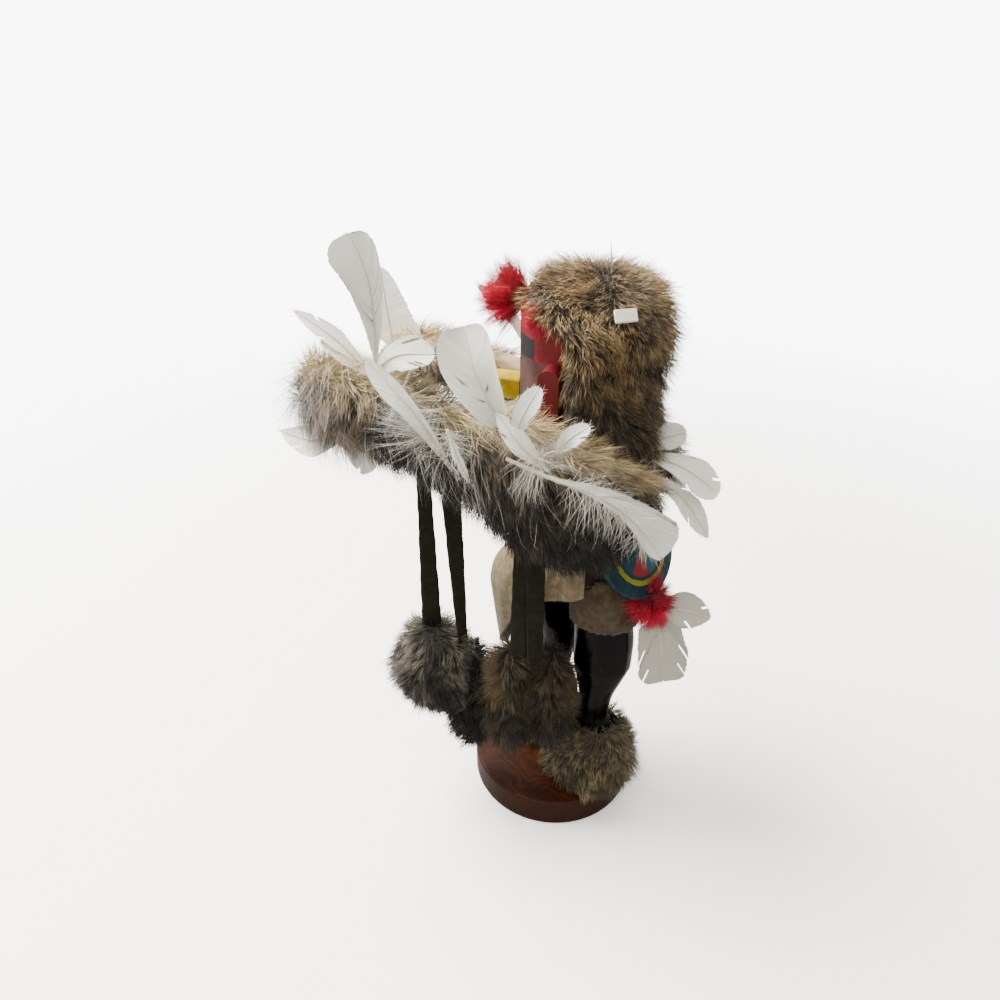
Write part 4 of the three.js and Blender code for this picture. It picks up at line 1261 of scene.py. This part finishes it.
def rounded_profile(radius, low, high, edge, steps=6, rings=10):
    """Radius and height down a plain disc's side, with rounded edges."""
    arc = np.linspace(0, math.pi / 2, steps)
    bottom = [(radius - edge + edge * math.sin(a), low + edge - edge * math.cos(a)) for a in arc]
    top = [(radius - edge + edge * math.cos(a), high - edge + edge * math.sin(a)) for a in arc]
    wall = [(radius, z) for z in np.linspace(low + edge, high - edge, rings)[1:-1]]
    inner = [(radius * s, low) for s in (0.35, 0.7)]
    outer = [(radius * s, high) for s in (0.7, 0.35)]
    return inner + bottom + wall + top + outer


profile = rounded_profile(0.045, 0.0, 0.0166, 0.0012)
base_points, base_faces = turned(profile, 128)
base_piece = make_piece("turned_base", base_points, base_faces, stained, "base_wood")
stand_for(base_piece, "base")

# %% [markdown]
# ## The mask
#
# The mask is a plain cylinder. Above the eyes it is red, below it a dusty rose where the red has been rubbed
# thin, and a dark eye block sits on each side of the nose line. The same masks are painted from the angle
# round the head and the height, so no picture is needed.

# %% Mask head
HEAD = place(0, 4, 223)
HEAD_TALL = 0.056
mask_paint, tree, shader = new_material("mask_paint", Roughness=0.5, Specular_IOR_Level=0.4)
axes = parts_of(tree, here(tree))
forward_part = maths(tree, "MULTIPLY", maths(tree, "SUBTRACT", axes[1], float(HEAD[1])), -1.0)
angle = maths(tree, "ARCTAN2", axes[0], forward_part)
wide_angle = maths(tree, "ABSOLUTE", angle)
rise = maths(tree, "SUBTRACT", axes[2], float(HEAD[2]))
wobble = noise(tree, 160.0)
wobble = maths(tree, "MULTIPLY", maths(tree, "SUBTRACT", wobble, 0.5), 0.0016)
rise = maths(tree, "ADD", rise, wobble)
upper = span(tree, rise, 0.0312, 0.0318)
rubbed = noise(tree, 95.0, 5.0)
lower_red = blend(tree, span(tree, rubbed, 0.35, 0.7), tint("452325"), tint("5e423c"))
upper_red = blend(tree, span(tree, rubbed, 0.4, 0.75), tint("86141e"), tint("5a1017"))
face = blend(tree, upper, lower_red, upper_red)
eye = maths(tree, "MULTIPLY", span(tree, wide_angle, 0.16, 0.2), span(tree, wide_angle, 1.03, 0.99))
eye = maths(tree, "MULTIPLY", eye, span(tree, rise, 0.0312, 0.0318))
eye = maths(tree, "MULTIPLY", eye, span(tree, rise, 0.0408, 0.0402))
face = blend(tree, eye, face, tint("10161e"))
edge = use_group(tree, wear_group, Scale=380.0, Amount=0.4)
tree.links.new(blend(tree, edge["Mask"], face, tint("b08a60")), shader["Base Color"])
bump(tree, shader, rubbed, 0.0001)

profile = rounded_profile(0.026, 0.0, HEAD_TALL, 0.0015, rings=24)
head_points, head_faces = turned(profile, 112, move=lambda points: points + HEAD)
head_piece = make_piece("painted_mask", head_points, head_faces, mask_paint, "mask_paint")
stand_for(head_piece, "mask_head")


# %% Ears and beak with eased edges
def eased_copy(title, node, material, slot_name, bevel, segments=3):
    """A copy of a CAD block with its sharp edges rounded over."""
    source = nodes[node].data
    bm = bmesh.new()
    bm.from_mesh(source)
    bmesh.ops.remove_doubles(bm, verts=bm.verts, dist=0.00002)
    bmesh.ops.dissolve_limit(bm, angle_limit=math.radians(3), verts=bm.verts, edges=bm.edges)
    sharp = [e for e in bm.edges if len(e.link_faces) == 2 and e.calc_face_angle(0) > math.radians(35)]
    bmesh.ops.bevel(bm, geom=sharp, offset=bevel, segments=segments, affect="EDGES", clamp_overlap=True)
    bmesh.ops.triangulate(bm, faces=bm.faces)
    mesh = bpy.data.meshes.new(title)
    bm.to_mesh(mesh)
    bm.free()
    mesh.materials.clear()
    mesh.materials.append(material)
    mesh.polygons.foreach_set("use_smooth", np.full(len(mesh.polygons), False))
    piece = bpy.data.objects.new(title, mesh)
    bpy.context.scene.collection.objects.link(piece)
    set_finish(piece, slot_name)
    return stand_for(piece, node)


eased_copy("left_ear", "ear_left", ear_paint, "mask_paint", 0.0006)
eased_copy("right_ear", "ear_right", ear_paint, "mask_paint", 0.0006)
eased_copy("yellow_beak", "beak", beak_paint, "beak_paint", 0.0004)

# %% [markdown]
# ## Carved body and arms
#
# The legs, hips and chest are one carving and the arms are two more. The CAD solids have flat facets and
# sharp joins, which knife work that is sanded and painted doesn't show. A voxel remesh of a copy melts the
# joins, and a few smoothing steps take the facets away without changing the size.

# %% Smoothed copies of carved pieces
def carved_copy(title, node, material, slot_name, voxel, rounds, change=None):
    mesh = nodes[node].data.copy()
    mesh.name = title
    piece = bpy.data.objects.new(title, mesh)
    bpy.context.scene.collection.objects.link(piece)
    bm = bmesh.new()
    bm.from_mesh(mesh)
    bmesh.ops.remove_doubles(bm, verts=bm.verts, dist=0.00002)
    bm.to_mesh(mesh)
    bm.free()
    melt = piece.modifiers.new("melt", "REMESH")
    melt.mode = "VOXEL"
    melt.voxel_size = voxel
    relax = piece.modifiers.new("relax", "SMOOTH")
    relax.factor = 0.6
    relax.iterations = rounds
    shaped = bpy.data.meshes.new_from_object(piece.evaluated_get(bpy.context.evaluated_depsgraph_get()))
    piece.modifiers.clear()
    piece.data = shaped
    bpy.data.meshes.remove(mesh)
    shaped.name = title
    if change is not None:
        corners = np.empty(len(shaped.vertices) * 3)
        shaped.vertices.foreach_get("co", corners)
        normals = np.empty(len(shaped.vertices) * 3)
        shaped.vertices.foreach_get("normal", normals)
        moved = change(corners.reshape(-1, 3), normals.reshape(-1, 3))
        shaped.vertices.foreach_set("co", moved.astype(np.float32).ravel())
        shaped.update()
    shaped.materials.clear()
    shaped.materials.append(material)
    shaped.polygons.foreach_set("use_smooth", np.full(len(shaped.polygons), True))
    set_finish(piece, slot_name)
    print(f"{title}: {len(shaped.polygons)} faces")
    return stand_for(piece, node)


body_paint, tree, shader = new_material("boot_enamel", Roughness=0.13, Specular_IOR_Level=0.1)
height_now = parts_of(tree, here(tree))[2]
skin_share = span(tree, height_now, 0.1565, 0.1585)
dust = noise(tree, 140.0, 6.0)
boot = blend(tree, span(tree, dust, 0.55, 0.8), tint("020202"), tint("060707"))
maroon = blend(tree, span(tree, dust, 0.4, 0.7), tint("22090a"), tint("301112"))
edge = use_group(tree, wear_group, Scale=260.0, Amount=0.3)
colour = blend(tree, skin_share, boot, maroon)
tree.links.new(blend(tree, edge["Mask"], colour, tint("6a4a33")), shader["Base Color"])
bump(tree, shader, dust, 0.00025)
carved_copy("carved_figure", "carved_body", body_paint, "body_paint", 0.0017, 4)

bare, tree, shader = new_material("bare_wood", Roughness=0.6, Specular_IOR_Level=0.35)
stretched = put(tree, "Mapping", {"Vector": here(tree), "Scale": (700.0, 60.0, 700.0)}).outputs[0]
grain = noise(tree, 1.0, 4.0, stretched)
cloudy = noise(tree, 60.0, 3.0)
wood = blend(tree, span(tree, grain, 0.35, 0.7), tint("b09a7a"), tint("8f7656"))
wood = blend(tree, span(tree, cloudy, 0.5, 0.75, 0.0, 0.5), wood, tint("775f42"))
tree.links.new(wood, shader["Base Color"])
bump(tree, shader, grain, 0.00012)
carved_copy("left_arm", "arm_left", bare, "bare_wood", 0.0014, 3)
carved_copy("right_arm", "arm_right", bare, "bare_wood", 0.0014, 3)

# %% [markdown]
# ## Suede
#
# The knee bands, the apron and the straps are suede: no shine, a fine nap that catches light unevenly, and
# stains. One group gives its colour and its height; each piece brings its own two tones and stain colour.

# %% Group: suede nap
suede_group, given, result = new_group(
    "suede_nap",
    [
        ("Light", "Color", (0.5, 0.4, 0.3, 1)),
        ("Dark", "Color", (0.3, 0.25, 0.2, 1)),
        ("Stain", "Color", (0.3, 0.15, 0.1, 1)),
        ("Stain Share", "Float", 0.3),
    ],
    [("Color", "Color"), ("Height", "Float")],
)
coarse = noise(suede_group, 70.0, 5.0)
nap = noise(suede_group, 1500.0, 3.0)
brushed = noise(suede_group, 330.0)
tone = maths(suede_group, "MULTIPLY_ADD", nap, 0.45, maths(suede_group, "MULTIPLY", brushed, 0.65))
colour = blend(suede_group, span(suede_group, tone, 0.35, 0.75), given["Dark"], given["Light"])
stain = maths(suede_group, "MULTIPLY", span(suede_group, coarse, 0.5, 0.68), given["Stain Share"])
suede_group.links.new(blend(suede_group, stain, colour, given["Stain"]), result["Color"])
suede_group.links.new(tone, result["Height"])


def suede_material(name, light, dark, stain, stain_share, lift=0.0002, sheen=0.12):
    material, tree, shader = new_material(name, Roughness=0.92, Sheen_Weight=sheen, Specular_IOR_Level=0.15)
    out = use_group(
        tree, suede_group, Light=tint(light), Dark=tint(dark), Stain=tint(stain), Stain_Share=stain_share
    )
    tree.links.new(out["Color"], shader["Base Color"])
    bump(tree, shader, out["Height"], lift)
    return material


band_suede = suede_material("band_suede", "564c3c", "44392b", "3a1d17", 0.5)
apron_suede = suede_material("apron_suede", "8a7c64", "6c5e48", "574530", 0.4)
strap_suede = suede_material("strap_suede", "262419", "1c1a11", "120f09", 0.35, lift=0.0001, sheen=0.04)

# %% Knee bands
def wrinkled(points, normals):
    """Vertical tucks, as a strip of suede gets when it is drawn round a knee."""
    angle = np.arctan2(points[:, 1] - points[:, 1].mean(), points[:, 0] - points[:, 0].mean())
    tucks = np.sin(angle * 27 + 1.2 * waves(points, 0.02, 6)) * 0.00018
    soft = waves(points, 0.014, 9) * 0.00025
    return points + normals * (tucks + soft)[:, None]


carved_copy("left_knee_band", "knee_band_left", band_suede, "suede", 0.001, 2, wrinkled)
carved_copy("right_knee_band", "knee_band_right", band_suede, "suede", 0.001, 2, wrinkled)

# %% [markdown]
# ## Straps
#
# The straps are flat strips cut with scissors and twisted a little where they hang. Each is a ribbon with a
# real thickness, a slow bow and slightly uneven edges. They carry the pompoms.

# %% Straps
STRAPS = [
    (40, -55, -55, 206, 112, 6, 10, 0.04),
    (38, -43, -39, 200, 98, 9, 5.5, 0.15),
    (40.6, -8.4, -8.6, 189, 104, 5.5, 8.8, -0.04),
    (39, -2.3, -0.7, 186, 106, 9.4, 8.4, 0.1),
]
STRAP_THICK = 1.5

for order, (x, top_y, low_y, top, low, top_wide, low_wide, twist) in enumerate(STRAPS, start=1):
    chance = np.random.default_rng(300 + order)
    rows = 60
    across_steps = np.linspace(-1, 1, 7)
    s = np.linspace(0, 1, rows)
    turn = math.radians(20) + 2 * math.pi * twist * (1 - s)
    middle = np.stack(
        [np.full(rows, x), low_y + (top_y - low_y) * s, low + (top - low) * s + BASE_LIFT], axis=1
    ) * MILLIMETRE
    wide_way = np.stack([-np.sin(turn), np.cos(turn), np.zeros(rows)], axis=1)
    thick_way = np.stack([np.cos(turn), np.sin(turn), np.zeros(rows)], axis=1)
    half = (low_wide + (top_wide - low_wide) * s) / 2 * MILLIMETRE
    half = half * (1 + 0.05 * np.sin(s * 17 + order) * np.sin(s * 41))
    sheets = []
    for face in (-1, 1):
        curl = 0.25 * MILLIMETRE * (across_steps**2)
        offset = (face * STRAP_THICK / 2) * MILLIMETRE * (1 - 0.35 * np.abs(across_steps) ** 6)
        sheets.append(
            middle[:, None] + wide_way[:, None] * (half[:, None] * across_steps[None])[:, :, None]
            + thick_way[:, None] * (offset + curl)[None, :, None]
        )
    loop = np.concatenate([sheets[0], sheets[1][:, ::-1]], axis=1)
    ring = loop.shape[1]
    quads = grid_faces(rows, ring, closed=True)
    faces = halves(quads).tolist()
    for start in (0, (rows - 1) * ring):
        for k in range(1, ring - 1):
            faces.append([start, start + k, start + k + 1])
    piece = make_piece(f"strap_{order}_suede", loop.reshape(-1, 3), faces, strap_suede, "strap_suede")
    stand_for(piece, f"strap_{order}")

# %% [markdown]
# ## Kilt and apron
#
# The kilt is a band of dark woven cloth, and the apron over it is a sheet of tan suede that flares over the
# stepping knee and ends in a long tail. Both are single sheets that hang from the belt. They were cut, hung
# and pleated here rather than simulated, because the photograph shows only a few still folds.

# %% Woven cloth
kilt_cloth, tree, shader = new_material("kilt_cloth", Roughness=0.9, Sheen_Weight=0.3, Specular_IOR_Level=0.2)
axes = parts_of(tree, here(tree))
angle = maths(tree, "ARCTAN2", axes[0], maths(tree, "SUBTRACT", axes[1], 0.016))
warp = maths(tree, "SINE", maths(tree, "MULTIPLY", angle, 240.0))
weft = maths(tree, "SINE", maths(tree, "MULTIPLY", axes[2], 7000.0))
weave = maths(tree, "MULTIPLY_ADD", maths(tree, "MULTIPLY", warp, weft), 0.5, 0.5)
faded = noise(tree, 90.0, 4.0)
cloth = blend(tree, weave, tint("170607"), tint("2a0c0e"))
cloth = blend(tree, span(tree, faded, 0.5, 0.8, 0.0, 0.5), cloth, tint("1a0a0b"))
tree.links.new(cloth, shader["Base Color"])
bump(tree, shader, weave, 0.00018)


def hanging_sheet(title, rows, columns, point, material, slot_name, thick, closed=False):
    """A closed thin sheet from a function of (across, down, out)."""
    turns = columns if closed else columns - 1

    def face(out):
        return np.array([
            [point(i / turns, k / (rows - 1), out) for i in range(columns)] for k in range(rows)
        ])

    loop = np.concatenate([face(thick), face(0.0)[::-1]], axis=0)
    total = len(loop)
    faces = []
    for k in range(total):
        nxt = (k + 1) % total
        for i in range(columns if closed else columns - 1):
            j = (i + 1) % columns
            faces.append((k * columns + i, k * columns + j, nxt * columns + j, nxt * columns + i))
    points = loop.reshape(-1, 3)
    if not closed:
        for i in (0, columns - 1):
            for k in range(rows - 1):
                faces.append((k * columns + i, (k + 1) * columns + i,
                              (total - 2 - k) * columns + i, (total - 1 - k) * columns + i))
    piece = make_piece(title, points, faces, material, slot_name)
    bm = bmesh.new()
    bm.from_mesh(piece.data)
    bmesh.ops.recalc_face_normals(bm, faces=bm.faces)
    bm.to_mesh(piece.data)
    bm.free()
    return piece


def kilt_point(across, down, out):
    turn = 2 * math.pi * across
    fold = 0.35 * math.sin(turn * 14) * down
    wide = 27.0 + 2.2 * down + fold + out
    deep = 19.5 + 1.7 * down + fold + out
    return place(wide * math.cos(turn), 15.5 + down + deep * math.sin(turn), 167.8 - 16.6 * down)


kilt = hanging_sheet("woven_kilt", 14, 220, kilt_point, kilt_cloth, "kilt_cloth", 0.9, closed=True)
stand_for(kilt, "kilt")


TAIL_SHARE = 0.34


def apron_hem(turn):
    side = abs(turn) / math.radians(100)
    tail = max(0.0, 1 - side / TAIL_SHARE)
    return 128 + 19 * side - 48 * math.sqrt(tail)


def apron_point(across, down, out):
    turn = math.radians(100) * (2 * across - 1)
    front = math.cos(turn / 2) ** 14
    h = 165 + (apron_hem(turn) - 165) * down
    fall = 165 - h
    belly = math.sin(math.pi / 2 * min(1, fall / 34)) - 0.2 * max(0, (fall - 34) / 40)
    pleat = 0.9 * math.sin(turn * 9) * min(1, fall / 20)
    pucker = 0.25 * math.sin(turn * 31 + 2 * down) * math.sin(math.pi * down)
    spread = 26 * front * belly + 2.6 * min(1, fall / 14) + pleat + pucker + out + 0.25
    return place((29 + spread) * math.sin(turn), 15.5 - (21.5 + spread) * math.cos(turn), h)


apron = hanging_sheet("suede_apron", 34, 150, apron_point, apron_suede, "suede", 1.1)
stand_for(apron, "apron")

# %% [markdown]
# ## The shield
#
# The shield is a thin round board, painted with plain rings as many dance shields are: a broad dark teal rim,
# a yellow-green ring that turns orange on one side, and a field split by a red wedge. The paint is laid out
# from the distance and the angle about the shield's own axis.

# %% Shield
SHIELD = place(17.5, 39, 171.5)
SHIELD_R = 0.0245
tilt = math.radians(28)
spin = math.radians(65)
axis = np.array([math.cos(tilt) * math.cos(spin), math.cos(tilt) * math.sin(spin), math.sin(tilt)])
flat_way = unit(np.cross([0, 0, 1], axis))
up_way = np.cross(axis, flat_way)

shield_paint, tree, shader = new_material("shield_paint", Roughness=0.42, Specular_IOR_Level=0.2)
from_middle = put(
    tree, "VectorMath", {0: here(tree), 1: tuple(float(v) for v in SHIELD)}, operation="SUBTRACT"
).outputs[0]


def part_along(direction):
    return put(
        tree, "VectorMath", {0: from_middle, 1: tuple(float(v) for v in direction)}, operation="DOT_PRODUCT"
    ).outputs["Value"]


side_part = part_along(flat_way)
high_part = part_along(up_way)
squares = maths(tree, "ADD", maths(tree, "POWER", side_part, 2.0), maths(tree, "POWER", high_part, 2.0))
radius = maths(tree, "SQRT", squares)
ragged = noise(tree, 300.0)
radius = maths(tree, "MULTIPLY_ADD", maths(tree, "SUBTRACT", ragged, 0.5), 0.0012, radius)
angle = maths(tree, "ARCTAN2", high_part, side_part)
teal = blend(tree, span(tree, ragged, 0.4, 0.65), tint("04222c"), tint("06303b"))
orange = span(tree, side_part, 0.0, 0.014)
ring_colour = blend(tree, orange, tint("77781c"), tint("99591a"))
wedge = maths(tree, "MULTIPLY", span(tree, angle, -2.4, -2.3), span(tree, angle, -1.5, -1.6))
field = blend(tree, span(tree, angle, -1.55, -1.45), tint("093945"), tint("124d57"))
field = blend(tree, wedge, field, tint("7c1824"))
inside = span(tree, radius, 0.0145, 0.0141)
ring_share = maths(tree, "MULTIPLY", span(tree, radius, 0.0160, 0.0164), span(tree, radius, 0.0186, 0.0182))
paint = blend(tree, inside, teal, field)
paint = blend(tree, ring_share, paint, ring_colour)
edge = use_group(tree, wear_group, Scale=420.0, Amount=0.5)
tree.links.new(blend(tree, edge["Mask"], paint, tint("9a815f")), shader["Base Color"])
bump(tree, shader, ragged, 0.00015)


def stand_shield(points):
    return SHIELD + points[:, :1] * flat_way + points[:, 1:2] * up_way + points[:, 2:] * axis


profile = rounded_profile(SHIELD_R, -0.0015, 0.0015, 0.0007, rings=4)
profile = [(r, z + 0.0014 * max(0.0, 1 - (r / SHIELD_R) ** 2) if z > 0 else z) for r, z in profile]
shield_points, shield_faces = turned(profile, 96, move=stand_shield)
shield_points[-1] += axis * 0.0014
shield_piece = make_piece("painted_shield", shield_points, shield_faces, shield_paint, "shield_paint")
stand_for(shield_piece, "shield")

# %% [markdown]
# ## Small things on the hood
#
# A small white tab sticks to the side of the hood, and the bare end of a quill stands on the crown.

# %% Tab and quill stub
tab_white, tree, shader = new_material("tab_white", Roughness=0.75)
fibres = noise(tree, 900.0, 4.0)
tree.links.new(blend(tree, fibres, tint("d9d4c8"), tint("f3f1ea")), shader["Base Color"])
bump(tree, shader, fibres, 0.0002)
eased_copy("white_tab", "hood_tab", tab_white, "feather", 0.0003, segments=2)

stub_line = bent_line([place(4, 16, 287), place(3.5, 15.5, 295), place(2.5, 14, 303)], 12)
stub_paths = np.array([stub_line[[0, 4, 8, 11]]] * 3)
stub_chance = np.random.default_rng(7)
turned_ways = np.array([[1.0, 0, 0], [0, 1.0, 0], [0.7, 0.7, 0]])
stub_points, stub_faces = ribbons(stub_paths, np.full(3, 0.0007), turned_ways, stub_chance)
stub = make_piece("crown_quill", stub_points, stub_faces, white_down, "feather",
                  np.tile([0.5, 0.3, 0.0], (len(stub_points), 1)))
stand_for(stub)

# %% [markdown]
# ## Finish
#
# The last cell prints how many faces all the shown pieces have. The dressed doll has to keep the size of
# the imported one.

# %% Finish
faces_total = sum(len(p.data.polygons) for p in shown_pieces() if p.type == "MESH")
print("faces in all:", faces_total)
